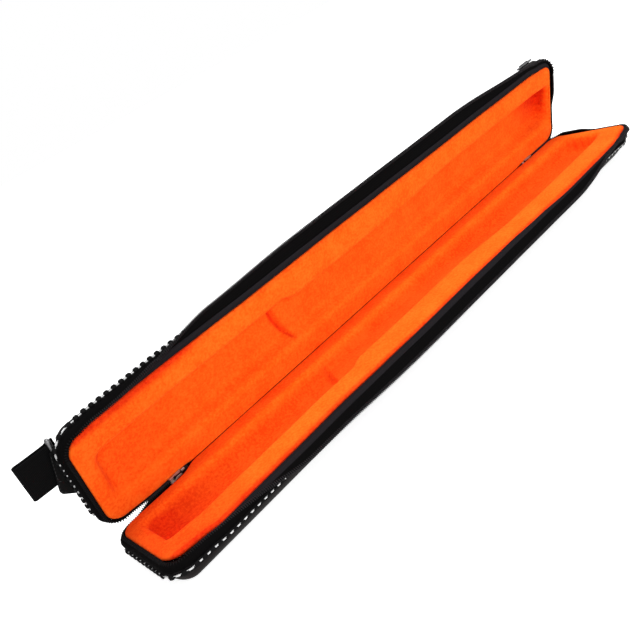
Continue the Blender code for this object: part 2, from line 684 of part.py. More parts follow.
def make_slider(end):
    """Zip slider: two plates, a divider between them, edge flanges that leave a slit, and a bridge."""
    frame = slider_frame(end)
    centre, along, across, out = frame
    top, plate = SLIDER_HALF_HEIGHT, SLIDER_PLATE
    body = slider_prism(end + "_slider", frame, slider_plan(SLIDER_HALF_WIDTH), top - plate, top)
    lower = slider_prism(end + "_lower_plate", frame, slider_plan(SLIDER_HALF_WIDTH), -top, plate - top)
    sides = 10
    turns = [2 * math.pi * i / sides for i in range(sides)]
    post_at = SLIDER_LENGTH / 2 - 2 * DIVIDER_RADIUS
    post = [(post_at + DIVIDER_LENGTH / 2 * math.cos(a), DIVIDER_RADIUS * math.sin(a)) for a in turns]
    divider = slider_prism(end + "_divider", frame, post, plate / 2 - top, top - plate / 2)
    parts = [lower, divider]
    nose = SLIDER_HALF_WIDTH * SLIDER_NOSE_SHARE
    back = -SLIDER_LENGTH / 2
    for side in (-1, 1):
        for level in (-1, 1):
            outline = [(back + plate, side * nose), (0.0, side * nose),
                       (0.0, side * (nose - SLIDER_FLANGE)), (back + plate, side * (nose - SLIDER_FLANGE))]
            if side < 0:
                outline = list(reversed(outline))
            inner, outer = level * (top - plate - SLIDER_FLANGE), level * (top - plate / 2)
            low, high = min(inner, outer), max(inner, outer)
            parts.append(slider_prism(f"{end}_flange_{side}_{level}", frame, outline, low, high))
    half_span, rise, thick = BRIDGE_SPAN / 2, BRIDGE_RISE, BRIDGE_THICK
    arch = [(-half_span, top - plate / 2), (-half_span, top + rise - thick), (-half_span + thick, top + rise),
            (half_span - thick, top + rise), (half_span, top + rise - thick), (half_span, top - plate / 2),
            (half_span - thick, top - plate / 2), (half_span - thick, top + rise - 2 * thick),
            (half_span - 2 * thick, top + rise - thick), (2 * thick - half_span, top + rise - thick),
            (thick - half_span, top + rise - 2 * thick), (thick - half_span, top - plate / 2)]
    mesh = bmesh.new()
    half = BRIDGE_WIDTH / 2
    prism(mesh, [centre + along * a + out * h - across * half for a, h in arch], across * BRIDGE_WIDTH)
    parts.append(finish(end + "_bridge", mesh, (0.09, 0.09, 0.1), 0.3, 1.0, origin=centre))
    union(body, parts)
    return body


def pull_pivot(end):
    """Point under the bridge about which the pull turns."""
    centre, along, across, out = slider_frame(end)
    lift = SLIDER_HALF_HEIGHT + BRIDGE_RISE - BRIDGE_THICK - CLEAR - PULL_WIRE
    reach = BRIDGE_SPAN / 2 - 2 * BRIDGE_THICK - CLEAR - PULL_WIRE
    return centre + out * lift + along * reach


def make_pull(end):
    """Pull: a wire eye through the slider's bridge and a flat tongue that lies along the zip."""
    centre, along, across, out = slider_frame(end)
    pivot = pull_pivot(end)
    half_eye = BRIDGE_WIDTH / 2 + CLEAR + PULL_WIRE
    eye_end = PULL_EYE + BRIDGE_THICK + PULL_WIRE
    half = PULL_WIDTH / 2
    wire = PULL_WIRE
    wide = half_eye + wire
    mesh = bmesh.new()
    outline = [(0.0, -wide), (eye_end, -wide), (eye_end + PULL_NECK, -half), (PULL_LENGTH - half, -half),
               (PULL_LENGTH, -half / 2), (PULL_LENGTH, half / 2), (PULL_LENGTH - half, half),
               (eye_end + PULL_NECK, half), (eye_end, wide), (0.0, wide), (-wire, half_eye),
               (-wire, -half_eye)]
    low = pivot - out * wire
    prism(mesh, [low + along * a + across * b for a, b in outline], out * 2 * wire)
    made = finish(end + "_pull", mesh, (0.05, 0.05, 0.055), 0.45, 0.3, origin=pivot)
    hole = bmesh.new()
    inner = half_eye - wire
    window = [(wire, -inner), (eye_end, -inner), (eye_end, inner), (wire, inner)]
    below = pivot - out * 3 * wire
    prism(hole, [below + along * a + across * b for a, b in window], out * 6 * wire)
    cutter = finish(end + "_pull_window", hole, (0.5, 0.5, 0.5), 0.5, origin=pivot)
    cutter.hide_render = True
    cutter.display_type = "WIRE"
    cut = made.modifiers.new("window", "BOOLEAN")
    cut.operation = "DIFFERENCE"
    cut.solver = "EXACT"
    cut.object = cutter
    return made


def make_stop(end):
    """Crimped stop that ends the zip behind its slider."""
    frame = slider_frame(end)
    centre = frame[0]
    half = STOP_SIDE / 2
    gap = SLIDER_LENGTH / 2 + CLEAR
    mesh = bmesh.new()
    box_between(mesh, frame, (-gap - STOP_LENGTH, -half, -half), (-gap, half, half))
    bmesh.ops.bevel(mesh, geom=mesh.edges, offset=half / 3, segments=1, profile=0.5, affect="EDGES",
                    material=-1)
    finish(end + "_zip_stop", mesh, (0.1, 0.1, 0.11), 0.35, 0.8)


def tube_loop(points, radius, sides):
    """Closed tube through a ring of points."""
    mesh = bmesh.new()
    count = len(points)
    middle = sum(points, Vector()) / count
    normal = (points[0] - middle).cross(points[count // 4] - middle).normalized()
    loops = []
    for i in range(count):
        along = (points[(i + 1) % count] - points[i - 1]).normalized()
        side = along.cross(normal).normalized()
        turns = [2 * math.pi * k / sides for k in range(sides)]
        loops.append([mesh.verts.new(points[i] + (side * math.cos(a) + normal * math.sin(a)) * radius)
                      for a in turns])
    for i in range(count):
        low, high = loops[i], loops[(i + 1) % count]
        for k in range(sides):
            n = (k + 1) % sides
            mesh.faces.new((low[k], low[n], high[n], high[k]))
    return mesh


def ring_outline():
    """Centre line of a rounded rectangular wire ring, as (along, across) pairs from one long bar."""
    half_long, half_wide = RING_LENGTH / 2 - RING_WIRE, RING_WIDTH / 2 - RING_WIRE
    made = []
    for x, y, start in ((half_long, half_wide, 0), (-half_long, half_wide, 1),
                        (-half_long, -half_wide, 2), (half_long, -half_wide, 3)):
        cx = x - math.copysign(RING_CORNER, x)
        cy = y - math.copysign(RING_CORNER, y)
        for i in range(ARC_STEPS + 1):
            turn = (start + i / ARC_STEPS) * math.pi / 2
            made.append((cx + RING_CORNER * math.cos(turn), cy + half_wide + RING_CORNER * math.sin(turn)))
    return made


def wall_lean(depth):
    """How far the cover's outer face has rounded inward at a depth."""
    rise = max(0.0, depth - (TRAY_DEPTH - BOTTOM_RADIUS)) / BOTTOM_RADIUS
    return BOTTOM_RADIUS * (1 - math.sqrt(1 - rise * rise))


def make_webbing():
    """Folded webbing loop that stands out from the lid's near end, with the strap ring's bar in its fold."""
    low = WEB_CENTRE - WEB_WIDTH / 2
    half_gap = (WEB_GAP + WEB_THICK) / 2
    swell = RING_WIRE + CLEAR + WEB_THICK / 2 - half_gap
    ring_at = -COVER_MARGIN - NEAR_RING_OUT
    tip = -COVER_MARGIN - WEB_REACH
    upper, lower = [], []
    for side, line in ((-1, upper), (1, lower)):
        edge = WEB_DEPTH + side * (half_gap + swell) - WEB_THICK / 2
        root = wall_lean(edge) - COVER_MARGIN - CLEAR
        places = [root] + [ring_at + RING_WIRE * step for step in (1, 0, -1, -2, -3)]
        places += [mix(ring_at, tip, share) for share in WEB_RUN_SHARES]
        for x in places:
            share = (x - ring_at) / (tip - ring_at)
            near = math.exp(-((x - ring_at) / (2 * RING_WIRE)) ** 2) if x < ring_at else 1.0
            depth = WEB_DEPTH + WEB_RISE * max(0.0, share) ** 2
            line.append((x, depth + side * (half_gap + swell * near)))
    fold = (tip - half_gap, WEB_DEPTH + WEB_RISE)
    section = thick_line(upper + [fold] + list(reversed(lower)), WEB_THICK)
    mesh = bmesh.new()
    lift = place("lid", 0, 1, 0) - place("lid", 0, 0, 0)
    prism(mesh, [place("lid", x, low, d) for x, d in section], lift * WEB_WIDTH)
    finish("webbing_loop", mesh, (0.012, 0.012, 0.012), 0.8)


def make_end_tab():
    """Leather-cloth tab that stands out from the lid's near end over the webbing, one corner rounded."""
    root = wall_lean(TAB_DEPTH) - COVER_MARGIN - CLEAR
    start = Vector((-COVER_MARGIN, TAB_LOW))
    turn = Vector((-COVER_MARGIN - TAB_REACH, TAB_CORNER_PLACE))
    high = Vector((-COVER_MARGIN - TAB_REACH_HIGH, TAB_HIGH))
    before = turn + (start - turn).normalized() * TAB_CORNER
    after = turn + (high - turn).normalized() * TAB_CORNER
    round_corner = [before.lerp(turn, t).lerp(turn.lerp(after, t), t)
                    for t in (i / ARC_STEPS for i in range(ARC_STEPS + 1))]
    outline = [(root, TAB_LOW), start, *round_corner, high, (root, TAB_HIGH)]
    drop = place("lid", 0, 0, TAB_THICK) - place("lid", 0, 0, 0)
    mesh = bmesh.new()
    prism(mesh, [place("lid", x, s, TAB_DEPTH) for x, s in outline], drop)
    finish("end_tab", mesh, (0.05, 0.048, 0.05), 0.6)


def make_near_ring():
    """Strap ring whose first bar lies in the webbing's fold, flat against the lid's near end."""
    x = -COVER_MARGIN - NEAR_RING_OUT
    points = [place("lid", x, NEAR_RING_CENTRE + a, WEB_DEPTH + b) for a, b in ring_outline()]
    pivot = place("lid", x, NEAR_RING_CENTRE, WEB_DEPTH)
    finish("near_ring", tube_loop(points, RING_WIRE, WIRE_SIDES), (0.35, 0.35, 0.36), 0.25, 1.0, origin=pivot)


def edge_point(turn, outset):
    """A point off the lid's rounded free-side bottom edge; past a right angle it runs on along the bottom."""
    centre = FREE_EDGE + COVER_MARGIN - BOTTOM_RADIUS
    radius = BOTTOM_RADIUS + outset
    depth = TRAY_DEPTH - BOTTOM_RADIUS
    if turn > math.pi / 2:
        return centre - (turn - math.pi / 2) * BOTTOM_RADIUS, depth + radius
    return centre + radius * math.cos(turn), depth + radius * math.sin(turn)


def make_far_ring():
    """Strap ring that lies on the lid's rounded edge, its first bar held in the folded tab."""
    ply = CLEAR + ANCHOR_THICK
    outset = ply + CLEAR + RING_WIRE
    first = edge_point(FAR_RING_TURN, outset)
    reach = RING_WIDTH - 2 * RING_WIRE
    lean = FAR_RING_TURN - math.asin(reach / (BOTTOM_RADIUS + outset))
    toward = Vector(edge_point(lean, CLEAR + RING_WIRE)) - Vector(first)
    toward.normalize()
    points = [place("lid", FAR_RING_PLACE + a, first[0] + toward.x * b, first[1] + toward.y * b)
              for a, b in ring_outline()]
    pivot = place("lid", FAR_RING_PLACE, *first)
    finish("far_ring", tube_loop(points, RING_WIRE, WIRE_SIDES), (0.35, 0.35, 0.36), 0.25, 1.0, origin=pivot)


def make_far_anchor():
    """Leather-cloth tab sewn to the cover's bottom edge and folded round the far ring's bar."""
    half = ANCHOR_THICK / 2
    under = CLEAR + half
    bar = CLEAR + ANCHOR_THICK + CLEAR + RING_WIRE
    round_bar = RING_WIRE + CLEAR + half
    upper = under + ANCHOR_THICK + CLEAR
    step = round_bar / (BOTTOM_RADIUS + bar)
    tail = math.pi / 2 + ANCHOR_TAIL / BOTTOM_RADIUS
    at = FAR_RING_TURN
    route = [(tail, under)]
    route += [(mix(math.pi / 2, at, i / WIRE_SIDES), under) for i in range(WIRE_SIDES + 1)]
    for i in range(1, WIRE_SIDES // 2):
        around = math.pi * i / (WIRE_SIDES // 2)
        route.append((at - step * math.sin(around), bar - round_bar * math.cos(around)))
    route += [(at, bar + round_bar), (at + step, (bar + round_bar + upper) / 2)]
    route += [(at + step * i, upper) for i in (2, 3, 4)]
    section = thick_line([edge_point(turn, outset) for turn, outset in route], ANCHOR_THICK)
    mesh = bmesh.new()
    x = FAR_RING_PLACE - ANCHOR_LENGTH / 2
    prism(mesh, [place("lid", x, s, d) for s, d in section], Vector((ANCHOR_LENGTH, 0, 0)))
    finish("far_anchor", mesh, (0.05, 0.048, 0.05), 0.6)


def main():
    for old in list(bpy.data.objects):
        bpy.data.objects.remove(old)
    for tray in ("base", "lid"):
        make_cover(tray)
        make_foam(tray)
        make_lining(tray)
        make_binding(tray)
        make_trim(tray)
        make_zip_side(tray)
    make_spine()
    for end in ("near", "far"):
        make_slider(end)
        make_pull(end)
        make_stop(end)
    make_end_tab()
    make_webbing()
    make_near_ring()
    make_far_anchor()
    make_far_ring()


main()
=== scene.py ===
"""Looks of a long flute bag: plush trays, woven trim, zip, webbing and strap rings, laid over its frame.

Each tray is drawn in its own terms: x from the lining's near end, s away from the hinge line across the
mouth, and d down from the mouth into the tray. place() turns these into world points for either tray.
"""

import json
import math

import bmesh
import bpy
from bpy.props import FloatProperty, FloatVectorProperty, PointerProperty
from mathutils import Matrix, Vector, noise


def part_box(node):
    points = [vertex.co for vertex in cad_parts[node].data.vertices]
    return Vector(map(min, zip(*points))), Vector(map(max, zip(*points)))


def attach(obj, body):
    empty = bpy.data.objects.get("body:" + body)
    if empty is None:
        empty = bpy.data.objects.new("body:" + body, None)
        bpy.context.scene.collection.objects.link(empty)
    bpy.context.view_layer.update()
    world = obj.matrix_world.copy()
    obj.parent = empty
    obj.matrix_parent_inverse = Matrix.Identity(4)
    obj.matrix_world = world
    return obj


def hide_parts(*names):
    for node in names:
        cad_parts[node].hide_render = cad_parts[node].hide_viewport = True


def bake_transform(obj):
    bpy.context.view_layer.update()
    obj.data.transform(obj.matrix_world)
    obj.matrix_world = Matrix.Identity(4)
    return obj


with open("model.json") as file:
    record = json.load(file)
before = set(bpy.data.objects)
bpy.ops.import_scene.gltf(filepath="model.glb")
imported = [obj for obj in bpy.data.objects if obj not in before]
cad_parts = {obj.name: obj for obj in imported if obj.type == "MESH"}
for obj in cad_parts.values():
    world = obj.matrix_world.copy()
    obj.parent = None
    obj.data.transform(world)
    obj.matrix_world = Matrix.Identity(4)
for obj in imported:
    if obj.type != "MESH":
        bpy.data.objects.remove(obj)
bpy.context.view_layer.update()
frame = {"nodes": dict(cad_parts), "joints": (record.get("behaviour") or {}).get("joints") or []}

bl_info = {
    "name": "Flute bag looks",
    "version": (1, 0, 0),
    "blender": (4, 5, 0),
    "location": "3D View > Sidebar > Flute bag",
    "description": "Builds the plush, covers, zip, trim and fittings of an open flute bag over its frame",
    "category": "Object",
}

MM = 0.001

# What the frame fixes
HINGE_JOINT = next(joint for joint in frame["joints"] if joint["name"] == "lid_hinge")
HINGE = Vector(HINGE_JOINT["pos_m"])
OPEN_ANGLE = -math.radians(HINGE_JOINT["range_deg"][0])
LINING_LOW, LINING_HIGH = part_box("base_lining")
COVER_LOW, COVER_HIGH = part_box("base_cover")
START_X = LINING_LOW.x
LENGTH = LINING_HIGH.x - LINING_LOW.x
FREE_EDGE = HINGE.y - LINING_LOW.y
COVER_MARGIN = LINING_LOW.x - COVER_LOW.x
COVER_BACK = HINGE.y - COVER_HIGH.y
TRAY_DEPTH = HINGE.z - COVER_LOW.z
OUTWARD = Vector((0, math.cos(OPEN_ANGLE / 2), -math.sin(OPEN_ANGLE / 2)))

# Lining
BACK_MARGIN = 4.1 * MM              # hinge line to the lining's back edge, at the ends
BACK_BOW = 4.4 * MM                 # how much nearer that edge comes between the sliders
BOW_START = 57.0 * MM               # where it starts to come nearer, from either end
BOW_RUN = 12.0 * MM                 # and how soon it has
FAR_BOW = 0.8                       # share of the bow that is reached beside the far slider
NEAR_BOW = {"base": (0.0, 0.0), "lid": (0.3, 0.76)}   # and at the near end, and beside its slider
NEAR_BOW_RUN = 40.0 * MM
BOW_PRESS = 0.5                     # how far the two rims press together below the mouth, of its depth
BOW_TIGHT = 0.85                    # how much sharper the lining's rim turns there
CORNER = 11.0 * MM                  # radius of the lining's corners
SQUARE_BACK, SQUARE_FREE = 0.3, 0.17   # how far the far end's two corners are pushed out
RIM_PROFILE = [(-1.6, 3.7), (-0.5, 3.6), (0.0, 3.1), (0.05, 2.4), (-0.25, 1.6), (-0.9, 0.95), (-1.9, 0.5),
               (-3.3, 0.2), (-5.2, 0.08)]               # outward of the lining's edge and below the mouth, mm
WELL_SHARES = [(-0.36, 0.0), (-0.2, 0.012), (-0.06, 0.045), (0.07, 0.11), (0.17, 0.21), (0.25, 0.35),
               (0.32, 0.51), (0.41, 0.68), (0.54, 0.84), (0.73, 0.95), (1.0, 1.0)]  # of run, and of depth
WELL_RUN = 8.5 * MM                 # width of the well's wall
WELL_CORNER = 7.0 * MM
PLEAT = 0.8 * MM                    # how far the pile puckers on the far wall
PLEAT_TURNS = 800.0                 # and how closely, in radians per metre
SADDLE_END = 330.0 * MM             # where the raised stretch starts to go down
DEEP_START = 400.0 * MM             # and where the floor is deepest again
BAND_ROWS = 3                       # rings across the flat rim
FLOOR_ROWS = 6                      # rings across the well's floor
CREASE_BACK = 1.5 * MM              # from the step back to the crease at its foot
SETTLE_FRAMES = 16
SETTLE_LIMIT = 3.0 * MM             # the most that the plush may move while it settles

# Cover and fittings
COVER_ROUND = 17.0 * MM             # radius of the cover's bottom edges
WALL_END = 8.5 * MM                 # depth at which its upright wall starts to turn
NEAR_FITTINGS_DEPTH = 14.6 * MM     # middle of the grab loop and the near ring
LOOP_MIDDLE = 66.0 * MM             # middle of the grab loop, from the hinge line
NEAR_RING_MIDDLE = 64.8 * MM
NEAR_RING_OUT = 0.8 * MM            # how far the near ring's bar lies inside the cover's end
RING_HALF = 20.2 * MM               # half a strap ring's length
BAR_WIRE = 1.0 * MM                 # radius of the rings' bars in the frame
SEAM_GAP = 0.1 * MM                 # between a strap and what it lies against
FAR_RING_TURN = math.radians(55.0)  # place of the far ring's bar, round the lid's free bottom edge
FAR_FITTINGS = LENGTH - 16.5 * MM   # middle of the far ring and its tab

# Zip, from the sewn root to the edge with the coil: outward of the lining's edge and below the mouth, mm
TAPE_UP = [(4.9, 6.0), (4.95, 4.1), (3.6, 2.1), (0.9, 1.4)]
TAPE_TURN = [(4.8, 6.0), (4.85, 4.1), (5.4, 2.4), (6.0, 1.6)]
TAPE_OUT = [(4.7, 6.0), (4.55, 4.2), (7.9, 7.2), (11.4, 10.9)]
TAPE_APART = [(1.6, 5.0), (2.2, 3.9), (2.9, 2.8), (3.6, 1.8)]    # along the back, at the far end
TAPE_LOW = [(1.6, 5.0), (2.6, 4.0), (3.8, 2.9), (4.8, 1.9)]      # the same at the lid's near end
TAPE_HIDDEN = [(0.5, 5.0), (0.7, 3.9), (0.8, 2.9), (0.7, 2.2)]   # and at the base's
TAPE_MEET = [(3.0, 5.2), (3.5, 3.6), (3.9, 1.9), (4.15, 0.1)]    # both tapes side by side on the hinge line
TAPE_MEET_LOW = [(1.4, 5.2), (2.4, 3.5), (3.4, 1.7), (4.15, 0.1)]   # the same for the base's near end
TAPE_ROWS = 11
BINDING_LINE = [(-4.5, 3.9), (-1.2, 3.2), (0.3, 2.5), (0.75, 1.9), (2.0, 2.2), (3.4, 3.0), (4.35, 4.0),
                (4.6, 4.9)]
BRAID_LINE = [(4.2, 6.4), (4.9, 6.5), (5.15, 7.2), (5.2, 8.1), (5.15, 9.0), (4.9, 9.7), (4.2, 9.8),
              (4.2, 6.4)]
BRAID_DEPTH = 8.1 * MM              # middle of the braid's blocks
THREAD_AT = (5.75, 7.5, 0.2)        # middle and radius of the braid's light thread, mm
ARM_LENGTH = 64.0 * MM              # the zip's back runs, from the end of the lining
MEET = (34.0 * MM, 10.0 * MM)       # where the tapes have come together, from the near and far end
# Where each tape starts to fold out and over what run, between what places it eases back, in mm, and the
# share that stays folded
FOLDS = {
    "base": (22, 88, 450, 565, 0.3),
    "lid": (30, 100, 420, 577, 0.66),
}
SEEDS = {"base": 1.7, "lid": 6.1}   # of the tapes' waves
EDGE_MARKS = {                      # how far each free edge bows outward of a straight line, along it, mm
    "base": [(0, -10), (10, -8), (22, -5.6), (38, -1.2), (70, -2.4), (110, -3), (150, -4), (200, -2.2),
             (250, 0), (300, 0.2), (350, 1.9), (400, 4), (450, 6.2), (505, 5.8), (540, 5.4), (562, 1),
             (577, -3)],
    "lid": [(0, -4.6), (10, -3.4), (24, -1.5), (80, -1.1), (120, -1.6), (160, -2.2), (250, -2.1), (300, -2.6),
            (400, -3.4), (450, -3.4), (500, -4.2), (540, -4.4), (560, -6), (577, -8)],
}
EDGE_FOLLOW = {"base": 0.4, "lid": 0.85}    # share of that bow which the zip and the cover's mouth follow
FAR_FOLLOW = {"base": 1.2, "lid": 0.2}      # how much more of it they follow at the far end
FAR_TUCK = {"base": 3.6 * MM, "lid": 0.0}   # how far they draw in under the lining there


def mix(a, b, t):
    return a + (b - a) * t


def ease(value):
    """0 below 0, 1 above 1 and smooth between."""
    t = min(1.0, max(0.0, value))
    return t * t * (3 - 2 * t)


def place(tray, x, s, d):
    """World point of a tray's x, s and d."""
    if tray == "base":
        return Vector((START_X + x, HINGE.y - s, HINGE.z - d))
    along = Vector((0, -math.cos(OPEN_ANGLE), math.sin(OPEN_ANGLE)))
    down = Vector((0, math.sin(OPEN_ANGLE), math.cos(OPEN_ANGLE)))
    return Vector((START_X + x, HINGE.y, HINGE.z)) + along * s + down * d


def edge_shift(tray, x):
    """How far a tray's soft free edge stands out of its straight line, from a few measured places."""
    marks = EDGE_MARKS[tray]
    x = min(max(x / MM, marks[0][0]), marks[-1][0])
    for (low, start), (high, end) in zip(marks, marks[1:]):
        if x <= high:
            return mix(start, end, ease((x - low) / (high - low))) * MM
    return marks[-1][1] * MM


def lie(tray, x, s, d, share=None):
    """World point of a soft place, which follows the tray's free edge near the mouth."""
    if share is None:
        share = EDGE_FOLLOW[tray] + FAR_FOLLOW[tray] * ease((x - 530 * MM) / (40 * MM))
    hold = ease((s - 45 * MM) / (30 * MM)) * ease((17 * MM - d) / (12 * MM))
    tuck = FAR_TUCK[tray] * ease((x - LENGTH + 12 * MM) / (17 * MM)) * ease((d - MM) / (5 * MM))
    aside = FAR_TUCK[tray] * ease((x - LENGTH + 34 * MM) / (24 * MM)) * ease((d - MM) / (5 * MM))
    s -= 1.2 * aside * ease((s - 60 * MM) / (25 * MM))
    return place(tray, x - tuck, s + share * edge_shift(tray, x) * hold, d)


def smooth_line(points, count):
    """Evenly counted points on a soft curve through a few points of two numbers."""
    made = []
    last = len(points) - 1
    for k in range(count):
        at = k * last / (count - 1)
        i = min(int(at), last - 1)
        t = at - i
        before, start, end = points[max(i - 1, 0)], points[i], points[i + 1]
        after = points[min(i + 2, last)]
        made.append(tuple(
            0.5 * (2 * q + (r - p) * t + (2 * p - 5 * q + 4 * r - u) * t ** 2
                   + (3 * q - p - 3 * r + u) * t ** 3)
            for p, q, r, u in zip(before, start, end, after)))
    return made


def skin(points):
    """A grid shaped to columns of points, welded where its sides meet, with a UV map in metres."""
    columns, rows = len(points), len(points[0])
    mesh = bmesh.new()
    uv = mesh.loops.layers.uv.new("UVMap")
    bmesh.ops.create_grid(mesh, x_segments=columns - 1, y_segments=rows - 1, size=0.5)
    middle = rows // 2
    along, across = [0.0], [0.0]
    for low, high in zip(points, points[1:]):
        along.append(along[-1] + (high[middle] - low[middle]).length)
    for low, high in zip(points[0], points[0][1:]):
        across.append(across[-1] + (high - low).length)
    spots = {}
    for vert in mesh.verts:
        column = round((vert.co.x + 0.5) * (columns - 1))
        row = round((vert.co.y + 0.5) * (rows - 1))
        spots[vert] = (column, row)
    for face in mesh.faces:
        for corner in face.loops:
            column, row = spots[corner.vert]
            corner[uv].uv = (along[column], across[row])
    for vert, (column, row) in spots.items():
        vert.co = points[column][row]
    bmesh.ops.remove_doubles(mesh, verts=mesh.verts, dist=0.002 * MM)
    return mesh


def face_from(mesh, centre):
    """Turns the faces away from a point."""
    mesh.normal_update()
    total = sum(face.normal.dot(face.calc_center_median() - centre) * face.calc_area() for face in mesh.faces)
    if total < 0:
        bmesh.ops.reverse_faces(mesh, faces=mesh.faces)


def close_out(mesh):
    """Turns a closed shape's faces outward."""
    bmesh.ops.recalc_face_normals(mesh, faces=mesh.faces)
    if mesh.calc_volume(signed=True) < 0:
        bmesh.ops.reverse_faces(mesh, faces=mesh.faces)


def piece(name, mesh, finish, body=None, replaces=(), sharp=None):
    """Makes an object of a bmesh and ties it to its body, slot and frame nodes."""
    data = bpy.data.meshes.new(name)
    mesh.to_mesh(data)
    mesh.free()
    data.shade_smooth()
    if sharp is not None:
        data.set_sharp_from_angle(angle=math.radians(sharp))
    data.materials.append(finish)
    made = bpy.data.objects.new(name, data)
    bpy.context.scene.collection.objects.link(made)
    if body:
        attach(made, body)
    if replaces:
        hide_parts(*replaces)
    return made


def thicken(made, thickness, offset=0.0):
    solid = made.modifiers.new("Thickness", "SOLIDIFY")
    solid.thickness = thickness
    solid.offset = offset
    solid.use_quality_normals = True


def round_edges(made, width, segments=2):
    edge = made.modifiers.new("Edge", "BEVEL")
    edge.width = width
    edge.segments = segments
    edge.limit_method = "ANGLE"


def soften(made, levels):
    smooth = made.modifiers.new("Smooth", "SUBSURF")
    smooth.levels = levels
    smooth.render_levels = levels


def attribute(made, name, value_at):
    """Gives a piece a number at each of its points."""
    values = made.data.attributes.new(name, "FLOAT", "POINT").data
    for vert, value in zip(made.data.vertices, values):
        value.value = value_at(vert.co)


def repeat(shape, places):
    """One mesh with a copy of a small shape at every place."""
    mesh = bmesh.new()
    for matrix in places:
        before = len(mesh.verts)
        mesh.from_mesh(shape)
        mesh.verts.ensure_lookup_table()
        bmesh.ops.transform(mesh, matrix=matrix, verts=mesh.verts[before:])
    return mesh


def cushion(length, width, height, squareness=0.6):
    """A small pillow shape, for stitches, teeth and woven blocks."""
    mesh = bmesh.new()
    bmesh.ops.create_uvsphere(mesh, u_segments=8, v_segments=6, radius=1.0)
    for vert in mesh.verts:
        vert.co = Vector(math.copysign(abs(value) ** squareness, value) for value in vert.co)
    bmesh.ops.rotate(mesh, verts=mesh.verts, cent=(0, 0, 0), matrix=Matrix.Rotation(math.pi / 2, 3, "Y"))
    bmesh.ops.scale(mesh, vec=(length / 2, width / 2, height / 2), verts=mesh.verts)
    close_out(mesh)
    data = bpy.data.meshes.new("cushion")
    mesh.to_mesh(data)
    mesh.free()
    data.shade_smooth()
    return data


def squared(x, s):
    """Pushes the two far corners out towards square ones."""
    dx = x - (LENGTH - CORNER)
    low, high = BACK_MARGIN + CORNER, FREE_EDGE - CORNER
    ds = s - min(high, max(low, s))
    if dx <= 0 or ds == 0:
        return x, s
    push = 1 + (SQUARE_BACK if ds < 0 else SQUARE_FREE) * math.sin(2 * math.atan2(ds, dx)) ** 2
    return LENGTH - CORNER + dx * push, s - ds + ds * push


def rim_length(arm):
    """Length of the zip's path with back runs that end at a place from the lining's end."""
    straights = 2 * (arm - CORNER) + 2 * (FREE_EDGE - BACK_MARGIN - 2 * CORNER) + LENGTH - 2 * CORNER
    return straights + 2 * math.pi * CORNER


def rim_at(run, arm):
    """A place on the zip's path: x, s, the outward direction there, and 1 on a back run or 0 off it."""
    side = FREE_EDGE - BACK_MARGIN - 2 * CORNER
    straights = (arm - CORNER, side, LENGTH - 2 * CORNER, side, arm - CORNER)
    quarter = CORNER * math.pi / 2
    x, s, turn = arm, BACK_MARGIN, -math.pi / 2
    for index, straight in enumerate(straights):
        step = min(run, straight) if index < 4 else run
        x += math.sin(turn) * step
        s -= math.cos(turn) * step
        run -= step
        if run <= 0 or index == 4:
            back = 1.0 if index in (0, 4) else 0.0
            return x, s, math.cos(turn), math.sin(turn), back
        bend = min(run, quarter) / CORNER
        centre_x, centre_s = x - CORNER * math.cos(turn), s - CORNER * math.sin(turn)
        turned = turn - bend
        x, s = centre_x + CORNER * math.cos(turned), centre_s + CORNER * math.sin(turned)
        if run <= quarter:
            share = ease(run / quarter)
            back = {0: 1 - share, 3: share}.get(index, 0.0)
            return x, s, math.cos(turned), math.sin(turned), back
        run -= quarter
        turn -= math.pi / 2


def rim_points(tray, run, arm, line):
    """A line of (outward, depth) points in the plane across the zip's path."""
    x, s, out_x, out_s, _ = rim_at(run, arm)
    x, s = squared(x, s)
    return [lie(tray, x + out_x * m, s + out_s * m, d) for m, d in line]


def rim_frame(tray, run, arm, point, toward):
    """Matrix at a point across the zip's path: X along the path, Y toward a second point, Z up off both."""
    low, high = (rim_points(tray, run + near, arm, [point])[0] for near in (-0.1 * MM, 0.1 * MM))
    at, aim = rim_points(tray, run, arm, [point, toward])
    along = (high - low).normalized()
    across = (aim - at).normalized()
    across = (across - along * across.dot(along)).normalized()
    made = Matrix((along, across, along.cross(across))).transposed().to_4x4()
    made.translation = at
    return made


def shade(colour, factor):
    return tuple(min(1.0, value * factor) for value in colour)


